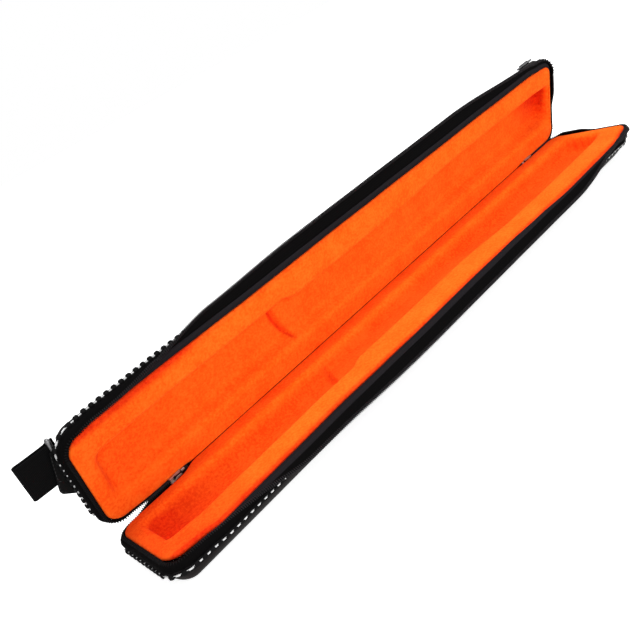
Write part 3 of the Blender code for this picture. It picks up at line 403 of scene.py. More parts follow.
class Finish:
    """Builds one material's nodes."""

    def __init__(self, name):
        self.made = bpy.data.materials.new(name)
        self.made.use_nodes = True
        self.tree = self.made.node_tree
        self.shader = self.tree.nodes["Principled BSDF"]

    def add(self, kind, **values):
        node = self.tree.nodes.new(kind)
        for name, value in values.items():
            setattr(node, name, value)
        return node

    def link(self, source, target):
        self.tree.links.new(source, target)

    def set(self, **values):
        for name, value in values.items():
            self.shader.inputs[name.replace("_", " ")].default_value = value

    def feed(self, socket, source):
        """Links a source to one of the shader's sockets."""
        self.link(source, self.shader.inputs[socket])

    def read(self, name):
        """A number that the piece has at each of its points."""
        return self.add("ShaderNodeAttribute", attribute_name=name).outputs["Fac"]

    def coords(self, kind, turn=0.0):
        """Texture coordinates of the piece, turned about Z."""
        source = self.add("ShaderNodeTexCoord")
        mapping = self.add("ShaderNodeMapping")
        mapping.inputs["Rotation"].default_value = (0, 0, turn)
        self.link(source.outputs[kind], mapping.inputs["Vector"])
        return mapping.outputs["Vector"]

    def noise(self, vector, scale, detail=2.0, rough=0.5):
        node = self.add("ShaderNodeTexNoise")
        node.inputs["Scale"].default_value = scale
        node.inputs["Detail"].default_value = detail
        node.inputs["Roughness"].default_value = rough
        self.link(vector, node.inputs["Vector"])
        return node.outputs["Fac"]

    def cells(self, vector, scale):
        node = self.add("ShaderNodeTexVoronoi", feature="F1")
        node.inputs["Scale"].default_value = scale
        self.link(vector, node.inputs["Vector"])
        return node.outputs["Distance"]

    def bands(self, vector, pitch, direction="X"):
        """Even waves of a pitch in metres, along one coordinate."""
        node = self.add("ShaderNodeTexWave", wave_type="BANDS", bands_direction=direction)
        node.inputs["Scale"].default_value = math.pi / (10 * pitch)
        self.link(vector, node.inputs["Vector"])
        return node.outputs["Fac"]

    def maths(self, operation, first, second):
        node = self.add("ShaderNodeMath", operation=operation)
        for socket, value in zip(node.inputs, (first, second)):
            if isinstance(value, (int, float)):
                socket.default_value = value
            else:
                self.link(value, socket)
        return node.outputs["Value"]

    def ramp(self, factor, stops):
        """Colours between stops of (place, colour)."""
        node = self.add("ShaderNodeValToRGB")
        slots = node.color_ramp.elements
        for slot, (at, colour) in zip((slots[0], slots[1]), (stops[0], stops[-1])):
            slot.position = at
            slot.color = (*colour, 1)
        for at, colour in stops[1:-1]:
            slots.new(at).color = (*colour, 1)
        self.link(factor, node.inputs["Fac"])
        return node.outputs["Color"]

    def shades(self, factor, colour, *stops):
        """Lighter and darker shades of one colour, at stops of (place, how light)."""
        return self.ramp(factor, [(at, shade(colour, light)) for at, light in stops])

    def blend(self, factor, first, second):
        """One colour into another."""
        node = self.add("ShaderNodeMix", data_type="RGBA")
        self.link(factor, node.inputs[0])
        self.link(first, node.inputs[6])
        self.link(second, node.inputs[7])
        return node.outputs[2]

    def spread(self, factor, low, high):
        """A number between low and high."""
        node = self.add("ShaderNodeMapRange")
        node.inputs["To Min"].default_value = low
        node.inputs["To Max"].default_value = high
        self.link(factor, node.inputs["Value"])
        return node.outputs["Result"]

    def bump(self, height, distance, strength=1.0, below=None):
        node = self.add("ShaderNodeBump")
        node.inputs["Distance"].default_value = distance
        node.inputs["Strength"].default_value = strength
        self.link(height, node.inputs["Height"])
        if below is not None:
            self.link(below, node.inputs["Normal"])
        return node.outputs["Normal"]


SHADED_PILE = ((0.6, 0.018, 0.002), (0.74, 0.04, 0.004))    # painted shade of the pile: deeper, redder colours for the well, its crease, the ends and the free rim


def plush_finish(colour):
    """Short brushed pile: mottled nap, soft sheen, a felted surface, and painted shade blended in from a
    number at each point.
    """
    m = Finish("orange_plush")
    at = m.coords("Object")
    nap = m.noise(at, 55.0, 3.0, 0.6)
    pile = m.noise(at, 480.0, 3.0, 0.7)
    mixed = m.maths("ADD", m.maths("MULTIPLY", nap, 0.3), m.maths("MULTIPLY", pile, 0.7))
    deep = (colour[0] * 0.96, colour[1] * 0.72, colour[2] * 0.6)
    light = (colour[0], colour[1] * 1.24, colour[2] * 1.6)
    brushed = m.ramp(mixed, [(0.4, deep), (0.5, tuple(colour)), (0.6, light)])
    # painted shade: the pile's deeper, redder colours, blended in by the lining's shade number
    shaded = m.ramp(mixed, [(0.4, SHADED_PILE[0]), (0.6, SHADED_PILE[1])])
    painted_shade = m.read("painted_shade")
    m.feed("Base Color", m.blend(painted_shade, brushed, shaded))
    m.set(Roughness=0.95, Sheen_Weight=0.12, Sheen_Roughness=0.45, Sheen_Tint=(1.0, 0.3, 0.1, 1.0))
    m.set(Specular_IOR_Level=0.04)
    tufts = m.bump(m.noise(at, 1500.0, 2.0, 0.6), 0.35 * MM, 0.6)
    m.feed("Normal", m.bump(nap, 0.8 * MM, 0.35, tufts))
    return m.made


def vinyl_finish(name, colour, roughness, shine=0.22):
    """Cloth-backed vinyl: a pebbled grain, a soft shine and rubbed high spots."""
    m = Finish(name)
    at = m.coords("Object")
    grain = m.cells(at, 1100.0)
    fine = m.noise(at, 2600.0, 2.0)
    wear = m.noise(at, 30.0, 4.0, 0.6)
    pale = tuple(min(1.0, value * 1.7 + 0.002) for value in colour)
    m.feed("Base Color", m.ramp(wear, [(0.35, tuple(colour)), (0.75, pale)]))
    m.feed("Roughness", m.spread(wear, roughness - 0.07, roughness + 0.1))
    m.set(Specular_IOR_Level=shine)
    small = m.bump(fine, 0.05 * MM, 0.4)
    m.feed("Normal", m.bump(grain, 0.16 * MM, 0.7, small))
    return m.made


def woven_finish(name, colour, thread, roughness=0.8, ribs=False):
    """Cloth woven along the piece's UV map: warp and weft, or ribs across a webbing."""
    m = Finish(name)
    at = m.coords("UV")
    turned = m.coords("UV", turn=math.pi / 4)
    if ribs:
        rows = m.spread(m.bands(at, thread * 2, "Y"), 0.5, 1.0)
        weave = m.maths("MULTIPLY", m.bands(at, thread, "X"), rows)
    else:
        weave = m.maths("ADD", m.maths("MULTIPLY", m.bands(turned, thread, "X"), 0.6),
                        m.maths("MULTIPLY", m.bands(at, thread, "Y"), 0.4))
    fuzz = m.noise(m.coords("Object"), 700.0, 3.0, 0.7)
    tone = m.maths("ADD", m.maths("MULTIPLY", weave, 0.7), m.maths("MULTIPLY", fuzz, 0.3))
    m.feed("Base Color", m.shades(tone, colour, (0.2, 0.6), (0.85, 1.6)))
    m.set(Roughness=roughness, Specular_IOR_Level=0.01)
    rough = m.bump(fuzz, 0.05 * MM, 0.4)
    m.feed("Normal", m.bump(weave, 0.14 * MM, 0.8, rough))
    return m.made


def yarn_finish(name, colour, roughness=0.7):
    """Soft twisted yarn, for stitches and woven blocks."""
    m = Finish(name)
    at = m.coords("Object")
    twist = m.noise(at, 1800.0, 3.0, 0.6)
    m.feed("Base Color", m.shades(twist, colour, (0.3, 0.72), (0.7, 1.12)))
    m.set(Roughness=roughness, Specular_IOR_Level=0.05)
    m.feed("Normal", m.bump(twist, 0.08 * MM, 0.6))
    return m.made


def metal_finish(name, colour, roughness):
    """Plated metal with a faint brushed unevenness and rubbed spots."""
    m = Finish(name)
    at = m.coords("Object")
    patches = m.noise(at, 160.0, 3.0, 0.6)
    fine = m.noise(at, 1900.0, 2.0)
    m.feed("Base Color", m.shades(patches, colour, (0.3, 0.75), (0.7, 1.2)))
    m.feed("Roughness", m.spread(patches, roughness - 0.06, roughness + 0.12))
    m.set(Metallic=1.0)
    m.feed("Normal", m.bump(fine, 0.02 * MM, 0.3))
    return m.made


def nylon_finish(name, colour, roughness):
    """Smooth moulded nylon of the zip's turns, with painted shade where the attribute dull is 1."""
    m = Finish(name)
    at = m.coords("Object")
    patches = m.noise(at, 400.0, 2.0)
    dull = m.read("dull")
    unshaded = m.shades(patches, colour, (0.3, 0.8), (0.7, 1.3))
    # painted shade: much darker shades of the nylon
    shade_and_shrink = m.shades(patches, colour, (0.3, 0.15), (0.7, 0.3))
    m.feed("Base Color", m.blend(dull, unshaded, shade_and_shrink))
    m.feed("Roughness", m.spread(patches, roughness - 0.05, roughness + 0.08))
    m.set(Specular_IOR_Level=0.05)
    m.feed("Normal", m.bump(patches, 0.03 * MM, 0.3))
    return m.made


def foam_finish(colour):
    """Open foam: small cells under a dull skin."""
    m = Finish("open_foam")
    at = m.coords("Object")
    cells = m.cells(at, 700.0)
    m.feed("Base Color", m.shades(cells, colour, (0.1, 0.6), (0.6, 1.0)))
    m.set(Roughness=0.95)
    m.feed("Normal", m.bump(cells, 0.3 * MM, 0.8))
    return m.made


IN_METRES = {"unit": "LENGTH", "precision": 5}
AS_COLOUR = {"subtype": "COLOR", "size": 3, "min": 0.0, "max": 1.0}


class BagTray(bpy.types.PropertyGroup):
    end_band: FloatProperty(name="End band", description="Flat rim beside the well at the two ends",
                            default=10.5 * MM, min=4 * MM, max=30 * MM, **IN_METRES)
    lid_far_band: FloatProperty(name="Lid far band", description="Rim beside the well at the lid's far end",
                                default=5.5 * MM, min=2 * MM, max=30 * MM, **IN_METRES)
    base_back_band: FloatProperty(name="Base hinge band",
                                  description="Rim between the base's well and the hinge",
                                  default=12.5 * MM, min=4 * MM, max=30 * MM, **IN_METRES)
    lid_back_band: FloatProperty(name="Lid hinge band",
                                 description="Rim between the lid's well and the hinge",
                                 default=14.5 * MM, min=4 * MM, max=30 * MM, **IN_METRES)
    base_free_band: FloatProperty(name="Base free band", description="Rim along the base's free side",
                                  default=23.5 * MM, min=4 * MM, max=30 * MM, **IN_METRES)
    lid_free_band: FloatProperty(name="Lid free band", description="Rim along the lid's free side",
                                 default=20.5 * MM, min=4 * MM, max=30 * MM, **IN_METRES)
    band_swell: FloatProperty(name="Band swell",
                              description="How much wider the free band is behind the step",
                              default=5.0 * MM, min=0.0, max=15 * MM, **IN_METRES)
    near_depth: FloatProperty(name="Near depth", description="Depth of the well in front of the step",
                              default=14.0 * MM, min=5 * MM, max=18 * MM, **IN_METRES)
    saddle_depth: FloatProperty(name="Saddle depth",
                                description="Depth of the raised stretch behind the step",
                                default=10.6 * MM, min=5 * MM, max=18 * MM, **IN_METRES)
    far_depth: FloatProperty(name="Far depth", description="Depth of the well at the far end",
                             default=15.0 * MM, min=5 * MM, max=18 * MM, **IN_METRES)
    step_place: FloatProperty(name="Step place",
                              description="Where the well steps up, from the lining's near end",
                              default=186.0 * MM, min=50 * MM, max=400 * MM, **IN_METRES)
    plush: FloatVectorProperty(name="Plush", description="Colour of the lining's pile",
                               default=(0.95, 0.136, 0.008), **AS_COLOUR)
    vinyl: FloatVectorProperty(name="Vinyl", description="Colour of the covers",
                               default=(0.006, 0.0045, 0.0045), **AS_COLOUR)


class BagZip(bpy.types.PropertyGroup):
    coil_pitch: FloatProperty(name="Coil pitch", description="Distance between the zip's turns",
                              default=1.5 * MM, min=0.5 * MM, max=5 * MM, **IN_METRES)
    tape_thickness: FloatProperty(name="Tape thickness", description="Thickness of the woven zip tape",
                                  default=0.5 * MM, min=0.2 * MM, max=1 * MM, **IN_METRES)
    trim_pitch: FloatProperty(name="Trim pitch",
                              description="Length of one white and one black block of the braid",
                              default=5.9 * MM, min=2 * MM, max=20 * MM, **IN_METRES)
    tape: FloatVectorProperty(name="Tape", description="Colour of the zip tape",
                              default=(0.0026, 0.0024, 0.0025), **AS_COLOUR)
    white_yarn: FloatVectorProperty(name="White yarn", description="Colour of the braid's light blocks",
                                    default=(0.82, 0.82, 0.82), **AS_COLOUR)
    black_yarn: FloatVectorProperty(name="Black yarn", description="Colour of the braid's dark blocks",
                                    default=(0.004, 0.0038, 0.004), **AS_COLOUR)


class BagFittings(bpy.types.PropertyGroup):
    webbing_width: FloatProperty(name="Webbing width", description="Width of the grab loop's webbing",
                                 default=30.0 * MM, min=10 * MM, max=60 * MM, **IN_METRES)
    ring_wire: FloatProperty(name="Ring wire", description="Radius of the near strap ring's wire",
                             default=1.6 * MM, min=0.5 * MM, max=3 * MM, **IN_METRES)
    webbing: FloatVectorProperty(name="Webbing", description="Colour of the grab loop",
                                 default=(0.004, 0.004, 0.0042), **AS_COLOUR)
    nickel: FloatVectorProperty(name="Nickel", description="Colour of the strap rings",
                                default=(0.16, 0.16, 0.163), **AS_COLOUR)
    black_nickel: FloatVectorProperty(name="Black nickel", description="Colour of the sliders and pulls",
                                      default=(0.45, 0.37, 0.33), **AS_COLOUR)


class BagStage(bpy.types.PropertyGroup):
    key: FloatProperty(name="Key light", description="Power of the large soft light", default=27.0, min=0.0,
                       max=500.0, unit="POWER")
    world: FloatProperty(name="Surrounding light", description="Strength of the light from all sides",
                         default=0.32, min=0.0, max=2.0)


def long_shares():
    """Shares of a long side at which the lining is drawn, closer together at the well's step."""
    marks = [(0.0, 0.28, 30), (0.28, 0.37, 40), (0.37, 1.0, 60)]
    made = [0.0]
    for low, high, count in marks:
        made += [mix(low, high, (i + 1) / count) for i in range(count)]
    return made


LONG_SHARES = long_shares()
CORNER_STEPS = 8
SHORT_STEPS = 14


def loop_plan(near, far, back, free, radius):
    """Plan of a rounded rectangle whose points match from ring to ring, closed on its first point."""
    long_x = [mix(near + radius, far - radius, share) for share in LONG_SHARES]
    short_s = [mix(back + radius, free - radius, i / SHORT_STEPS) for i in range(SHORT_STEPS + 1)]

    def corner(x, s, start):
        turns = [start + i / CORNER_STEPS * math.pi / 2 for i in range(1, CORNER_STEPS)]
        return [(x + radius * math.cos(a), s + radius * math.sin(a)) for a in turns]

    plan = [(x, back) for x in long_x]
    plan += corner(far - radius, back + radius, -math.pi / 2)
    plan += [(far, s) for s in short_s]
    plan += corner(far - radius, free - radius, 0.0)
    plan += [(x, free) for x in reversed(long_x)]
    plan += corner(near + radius, free - radius, math.pi / 2)
    plan += [(near, s) for s in reversed(short_s)]
    plan += corner(near + radius, back + radius, math.pi)
    return plan + plan[:1]


def back_bow(tray, x, s, inset=0.0, press=0.0):
    """How far the lining's hinge-side half shifts towards the hinge line between the sliders."""
    middle = (BACK_MARGIN + FREE_EDGE) / 2
    near = ease((min(x, LENGTH - x) - BOW_START) / BOW_RUN)
    if x > LENGTH / 2:
        near = max(near, FAR_BOW * ease((LENGTH - x) / BOW_RUN))
    else:
        near = max(near, mix(*NEAR_BOW[tray], ease(x / NEAR_BOW_RUN)))
    hold = ease((middle - s) / (middle - BACK_MARGIN - inset))
    return -(BACK_BOW + BOW_TIGHT * inset + press) * near * hold


def bands(sizes, tray):
    """Widths of the flat rim on the hinge side and on the free side."""
    if tray == "base":
        return sizes.base_back_band, sizes.base_free_band
    return sizes.lid_back_band, sizes.lid_free_band


def step_line(sizes, tray, s):
    """Where the well's step lies across the tray: a crescent with a hook at its free end."""
    back_band, free_band = bands(sizes, tray)
    back = BACK_MARGIN + back_band
    free = FREE_EDGE - free_band - sizes.band_swell
    across = min(1.0, max(0.0, (s - back) / (free - back)))
    skew, bulge, hook = 6.0 * MM, 4.0 * MM, 9.0 * MM
    line = sizes.step_place + skew * (1 - 2 * across) - bulge * 4 * across * (1 - across)
    return line + hook * max(0.0, (across - 0.8) / 0.2) ** 2


def well_depth(sizes, tray, x, s):
    """Depth of the well's floor: a near well, a curved step up to a saddle, and a long deep end."""
    line = step_line(sizes, tray, s)
    dip = 0.15 if tray == "base" else 0.4
    up = ease((x - line) / (2.2 * MM)) - dip * math.exp(-((x - line + CREASE_BACK) / (1.3 * MM)) ** 2)
    down = ease((x - SADDLE_END) / (DEEP_START - SADDLE_END))
    rise = 0.4 * ease((80 * MM - x) / (65 * MM)) if tray == "lid" else 0.0
    return mix(mix(sizes.near_depth * (1 - rise), sizes.saddle_depth, up), sizes.far_depth, down)


def well_free(sizes, tray, x):
    """The well's free-side edge, which swells inward behind the step."""
    swell = ease((x - sizes.step_place) / (14.0 * MM)) * ease((DEEP_START - x) / (DEEP_START - SADDLE_END))
    return FREE_EDGE - bands(sizes, tray)[1] - sizes.band_swell * swell


def lining_rings(sizes, tray):
    """Rings of (x, s, depth) from the tucked lip over the rim and down the wall to a line along the floor."""
    rings = []
    for m, d in RIM_PROFILE:
        m, d = m * MM, d * MM
        plan = loop_plan(-m, LENGTH + m, BACK_MARGIN - m, FREE_EDGE + m, CORNER + m)
        plan = [squared(x, s) for x, s in plan]
        press = BOW_PRESS * min(d, 1.7 * MM) * ease((3.1 * MM - d) / (1.4 * MM))
        rings.append([(x, s + back_bow(tray, x, s, max(0.0, -m), press), d) for x, s in plan])
    back_band, free_band = bands(sizes, tray)
    near, back = sizes.end_band, BACK_MARGIN + back_band
    far = near if tray == "base" else sizes.lid_far_band
    free = FREE_EDGE - free_band

    def well_ring(inset, share):
        plan = loop_plan(near + inset, LENGTH - far - inset, back + inset, free - inset, WELL_CORNER)
        ring = []
        for x, s in plan:
            shift = (well_free(sizes, tray, x) - free) * ease((s - back) / (free - inset - back))
            s += shift
            at_far = ease((x - LENGTH + far + inset + 9 * MM) / (8 * MM))
            pleat = PLEAT * math.sin(s * PLEAT_TURNS) * 4 * share * (1 - share) * at_far
            ring.append((x - pleat, s, well_depth(sizes, tray, x, s) * share))
        return ring

    wells = [well_ring(WELL_RUN * run, share) for run, share in WELL_SHARES]
    rim, mouth = rings[-1], wells[0]
    for i in range(1, BAND_ROWS + 1):
        t = i / (BAND_ROWS + 1)
        rings.append([tuple(mix(a, b, t) for a, b in zip(p, q)) for p, q in zip(rim, mouth)])
    rings += wells
    foot = wells[-1]
    first, last = foot[0][0] + WELL_CORNER, foot[len(LONG_SHARES) - 1][0] - WELL_CORNER
    for i in range(1, FLOOR_ROWS + 1):
        t = i / FLOOR_ROWS
        ring = []
        for x, s, _ in foot:
            ridge_x = min(last, max(first, x))
            ridge_s = mix(back, well_free(sizes, tray, ridge_x), 0.5)
            at_x, at_s = mix(x, ridge_x, t), mix(s, ridge_s, t)
            ring.append((at_x, at_s, well_depth(sizes, tray, at_x, at_s)))
        rings.append(ring)
    return rings


def settle(made, columns):
    """Lets the plush relax between its seams, and keeps the settled shape."""
    rows = {}
    for column in columns:
        for row, point in enumerate(column):
            rows[tuple(round(value, 6) for value in point)] = row
    held = made.vertex_groups.new(name="held")
    for vert in made.data.vertices:
        row = rows.get(tuple(round(value, 6) for value in vert.co), 0)
        free = ease((row - 8) / 4) * 0.05
        held.add([vert.index], 1.0 - free, "REPLACE")
    cloth = made.modifiers.new("Settle", "CLOTH")
    cloth.settings.quality = 6
    cloth.settings.mass = 0.12
    cloth.settings.tension_stiffness = 6.0
    cloth.settings.compression_stiffness = 6.0
    cloth.settings.shear_stiffness = 3.0
    cloth.settings.bending_stiffness = 0.6
    cloth.settings.vertex_group_mass = held.name
    cloth.settings.pin_stiffness = 1.0
    cloth.collision_settings.use_collision = False
    cloth.point_cache.frame_start = 1
    cloth.point_cache.frame_end = SETTLE_FRAMES
    scene = bpy.context.scene
    for step in range(1, SETTLE_FRAMES + 1):
        scene.frame_set(step)
    ready = made.evaluated_get(bpy.context.evaluated_depsgraph_get())
    settled = bpy.data.meshes.new_from_object(ready)
    old = made.data
    moved = max((a.co - b.co).length for a, b in zip(old.vertices, settled.vertices))
    made.modifiers.remove(cloth)
    made.vertex_groups.clear()
    scene.frame_set(1)
    if moved > SETTLE_LIMIT:
        raise RuntimeError(f"The plush moved {moved / MM:.1f} mm while it settled")
    made.data = settled
    settled.name = old.name
    bpy.data.meshes.remove(old)


def painted_shade_share(sizes, tray, x, s, depth):
    """How much painted shade the pile gets: down the well, in the crease at its step, at the near end, along
    the free rim, and on the lid at its far end and beside its free edge.
    """
    crease = math.exp(-((x - step_line(sizes, tray, s) + CREASE_BACK) / (1.6 * MM)) ** 2)
    low = ease((depth - 1.5 * MM) / (7 * MM))
    rim = ease((s - FREE_EDGE - edge_shift(tray, x) + 4.5 * MM) / (4.5 * MM))
    near_end = ease(1 - x / (110 * MM))
    if tray == "base":
        # painted shade in the base's well, strongest at its near end
        shade_and_shrink = mix(1.15, 0.36, ease((x - 8 * MM) / (30 * MM)))
        return min(1.0, (shade_and_shrink + 0.3 * crease) * low + 0.62 * near_end + 0.9 * rim)
    # painted shade on the lid's far end wall, and beside its free edge towards the near end
    far_end = ease((x - LENGTH + 60 * MM) / (50 * MM)) * mix(0.3, 1.0, ease((s - 22 * MM) / (30 * MM)))
    edge = ease(2 - x / (65 * MM)) * ease((s - FREE_EDGE + 9 * MM) / (8 * MM))
    return min(1.0, (0.12 + 1.1 * far_end + crease) * low + 0.95 * edge + 0.32 * near_end + 0.5 * rim)


def make_lining(sizes, tray, finish):
    """Plush lining: a padded rim and a well, uneven by a fraction of a millimetre."""
    seed = Vector((3.1, 7.7, 1.3)) if tray == "base" else Vector((9.2, 2.4, 5.8))
    columns = []
    for column in zip(*lining_rings(sizes, tray)):
        line = []
        for row, (x, s, d) in enumerate(column):
            lump = noise.noise(Vector((x, s, 0)) * 28 + seed) * 0.28 * MM
            inner = ease((row - 4) / 6)
            line.append(lie(tray, x, s, d + lump * inner, 1.0))
        columns.append(line)
    mesh = skin(columns)
    face_from(mesh, place(tray, LENGTH / 2, (BACK_MARGIN + FREE_EDGE) / 2, 300 * MM))
    made = piece(tray + "_plush", mesh, finish, tray, [tray + "_lining"])
    mouth = place(tray, 0, 0, 0)
    down = place(tray, 0, 0, 1) - mouth

    def shaded(point):
        off = point - mouth
        return painted_shade_share(sizes, tray, point.x - START_X, abs(off.cross(down).x), off.dot(down))

    # painted shade of the well, crease, ends and rim, kept at each point for the plush's colour
    attribute(made, "painted_shade", shaded)
    settle(made, columns)
    soften(made, 1)


def shell_plan(inset):
    """Plan of the cover's wall, moved inward."""
    margin = COVER_MARGIN - inset
    return loop_plan(-margin, LENGTH + margin, COVER_BACK + inset, FREE_EDGE + margin,
                     max(CORNER + margin, 2 * MM))


def laid_tray(tray, rings, middle):
    """Skin over a tray's rings of (x, s, depth), facing outward."""
    mesh = skin([[lie(tray, *point) for point in column] for column in zip(*rings)])
    face_from(mesh, place(tray, LENGTH / 2, middle, 0))
    return mesh


def cover_top(x, s):
    """Depth of the cover's top edge: lower behind the zip's back runs, higher along the spine."""
    hold = ease((BACK_MARGIN + CORNER - s) / CORNER)
    ends = min(x, LENGTH - x)
    back = mix(6.7, 3.6, ease((ends - 60 * MM) / (6 * MM)))
    return mix(5.5, back, hold) * MM


def make_cover(tray, finish):
    """Moulded tray: upright walls that swell a little, a quarter-round bottom edge and a flat bottom."""
    centre = TRAY_DEPTH - COVER_ROUND
    rings = []

    def ring(inset, depth=None):
        rings.append([(x, s, cover_top(x, s) if depth is None else depth) for x, s in shell_plan(inset)])

    for depth in (9.5 * MM, 8.0 * MM):
        ring(1.2 * MM, depth)
    for inset in (1.1 * MM, 0.6 * MM, 0.1 * MM):
        ring(inset)
    first = math.asin((WALL_END - centre) / COVER_ROUND)
    steps = 12
    for i in range(steps + 1):
        turn = mix(first, math.pi / 2, i / steps)
        ring(COVER_ROUND * (1 - math.cos(turn)), centre + COVER_ROUND * math.sin(turn))
    rim = rings[-1]
    middle = (COVER_BACK + FREE_EDGE + COVER_MARGIN) / 2
    half = (FREE_EDGE + COVER_MARGIN - COVER_BACK) / 2 - COVER_ROUND
    for t in (0.25, 0.6, 1.0):
        rings.append([(mix(x, min(LENGTH - half, max(half, x)), t), mix(s, middle, t), TRAY_DEPTH)
                      for x, s, _ in rim])
    piece(tray + "_shell", laid_tray(tray, rings, middle), finish, tray, [tray + "_cover"])


def make_padding(tray, finish):
    """Foam bowl between the cover and the plush."""
    skin_gap, thick, steps = 1.7 * MM, 1.2 * MM, 10
    centre = TRAY_DEPTH - COVER_ROUND
    lines = [(skin_gap, 6.0 * MM), (skin_gap, WALL_END)]
    for i in range(steps + 1):
        turn = mix(math.asin((WALL_END - centre) / COVER_ROUND), math.pi / 2, i / steps)
        lines.append((skin_gap + COVER_ROUND * (1 - math.cos(turn)),
                      centre + (COVER_ROUND - skin_gap) * math.sin(turn)))
    rings = [[(x, s, depth) for x, s in shell_plan(inset)] for inset, depth in lines]
    middle = (COVER_BACK + FREE_EDGE) / 2
    half = (FREE_EDGE - COVER_BACK) / 2 - COVER_ROUND
    rings.append([(min(LENGTH - half, max(half, x)), middle, depth) for x, s, depth in rings[-1]])
    made = piece(tray + "_padding", laid_tray(tray, rings, middle), finish, tray, [tray + "_foam"])
    thicken(made, thick, -1.0)


def flop(tray, x, s):
    """How far the tape has folded outward: nothing at the near end, all the way at mid-length."""
    hold = ease((s - FREE_EDGE + CORNER) / CORNER)
    start, run, low, high, left = FOLDS[tray]
    spread = mix(0.86, 1.0, ease((x - 100 * MM) / (120 * MM)))
    settled = mix(1.0, left, ease((x - low * MM) / ((high - low) * MM)))
    return hold * spread * settled * ease((x - start * MM) / (run * MM))


def tape_line(tray, run):
    """The tape's middle line at a place on the zip's path, in metres."""
    x, s, _, _, back = rim_at(run, ARM_LENGTH)
    fold = flop(tray, x, s)
    wave = noise.noise(Vector((x * 22, SEEDS[tray], 0))) * fold
    meet = ease(min((x - 12 * MM) / (MEET[0] - 12 * MM), (LENGTH - x) / MEET[1]))
    near_end = ease((CORNER - x) / (8 * MM)) * (1 - back)
    arms, meets = TAPE_APART, TAPE_MEET
    if x < LENGTH / 2:
        arms, meets = (TAPE_HIDDEN, TAPE_MEET_LOW) if tray == "base" else (TAPE_LOW, TAPE_MEET)
    across = ease((s - 30 * MM) / (20 * MM))
    rise = ease((x - LENGTH + 6 * MM) / (6 * MM)) * (across if tray == "lid" else 1 - across) * (1 - back)
    made = []
    for step, (up, turn, out, arm, joined) in enumerate(zip(TAPE_UP, TAPE_TURN, TAPE_OUT, arms, meets)):
        point = []
        for a, b, c, e, f in zip(up, turn, out, arm, joined):
            value = mix(mix(a, b, fold), mix(b, c, fold), fold)
            point.append(mix(value, mix(e, f, meet), back))
        share = step / 3
        outward = point[0] + (0.5 * wave + 0.3 * near_end + 0.9 * rise) * share
        below = point[1] - (0.5 * wave - 0.5 * near_end + 2.6 * rise) * share
        made.append((outward * MM, below * MM))
    return made


def tape_rows(tray, run):
    return smooth_line(tape_line(tray, run), TAPE_ROWS)


def make_tape(sizes, tray, finish):
    """Woven tape from its sewn root, round the back runs and the three open sides."""
    total = rim_length(ARM_LENGTH)
    count = 420
    columns = []
    for i in range(count + 1):
        run = total * i / count
        columns.append(rim_points(tray, run, ARM_LENGTH, tape_rows(tray, run)))
    made = piece(tray + "_zip_tape", skin(columns), finish, tray, [tray + "_tape"])
    thicken(made, sizes.tape_thickness)


def make_coil(sizes, tray, finish):
    """The zip's turns: one small pillow each over the tape's edge, the lid's between the base's."""
    total = rim_length(ARM_LENGTH)
    count = int(total / sizes.coil_pitch)
    tooth = cushion(0.8 * MM, 3.2 * MM, 1.7 * MM, 0.7)
    over_edge = Matrix.Translation((0, 0.45 * MM, 0))
    places = []
    for i in range(count):
        run = (i + (0.5 if tray == "base" else 0.98)) * total / count
        line = tape_rows(tray, run)
        places.append(rim_frame(tray, run, ARM_LENGTH, line[-1], line[-2]) @ over_edge)
    made = piece(tray + "_zip_turns", repeat(tooth, places), finish, tray, [tray + "_coil"])
    # painted shade on the turns towards the bag's near end, read by the nylon as dull
    attribute(made, "dull", lambda point: ease((START_X + 30 * MM - point.x) / (20 * MM)))


def make_binding(tray, finish):
    """Smooth strip from under the lining's edge to the tape's seam."""
    total = rim_length(CORNER)
    count = 300
    line = [(m * MM, d * MM) for m, d in smooth_line(BINDING_LINE, 16)]
    columns = []
    for i in range(count + 1):
        run = total * i / count
        x, _, _, _, back = rim_at(run, CORNER)
        drop = 1.7 * MM * ease((CORNER + 8 * MM - x) / (14 * MM))
        shown = [(mix(m, min(m, 1.6 * MM), back), mix(d, max(d, 2.4 * MM), back) + drop) for m, d in line]
        columns.append(rim_points(tray, run, CORNER, shown))
    made = piece(tray + "_binding_strip", skin(columns), finish, tray, [tray + "_binding"])
    thicken(made, 0.5 * MM, -1.0)


def braid_rod(tray, start, end, section):
    """A closed rod along the zip's path, with a section of (outward, depth) points."""
    count = 260
    rod = skin([rim_points(tray, mix(start, end, i / count), CORNER, section) for i in range(count + 1)])
    bmesh.ops.holes_fill(rod, edges=rod.edges, sides=0)
    close_out(rod)
    return rod


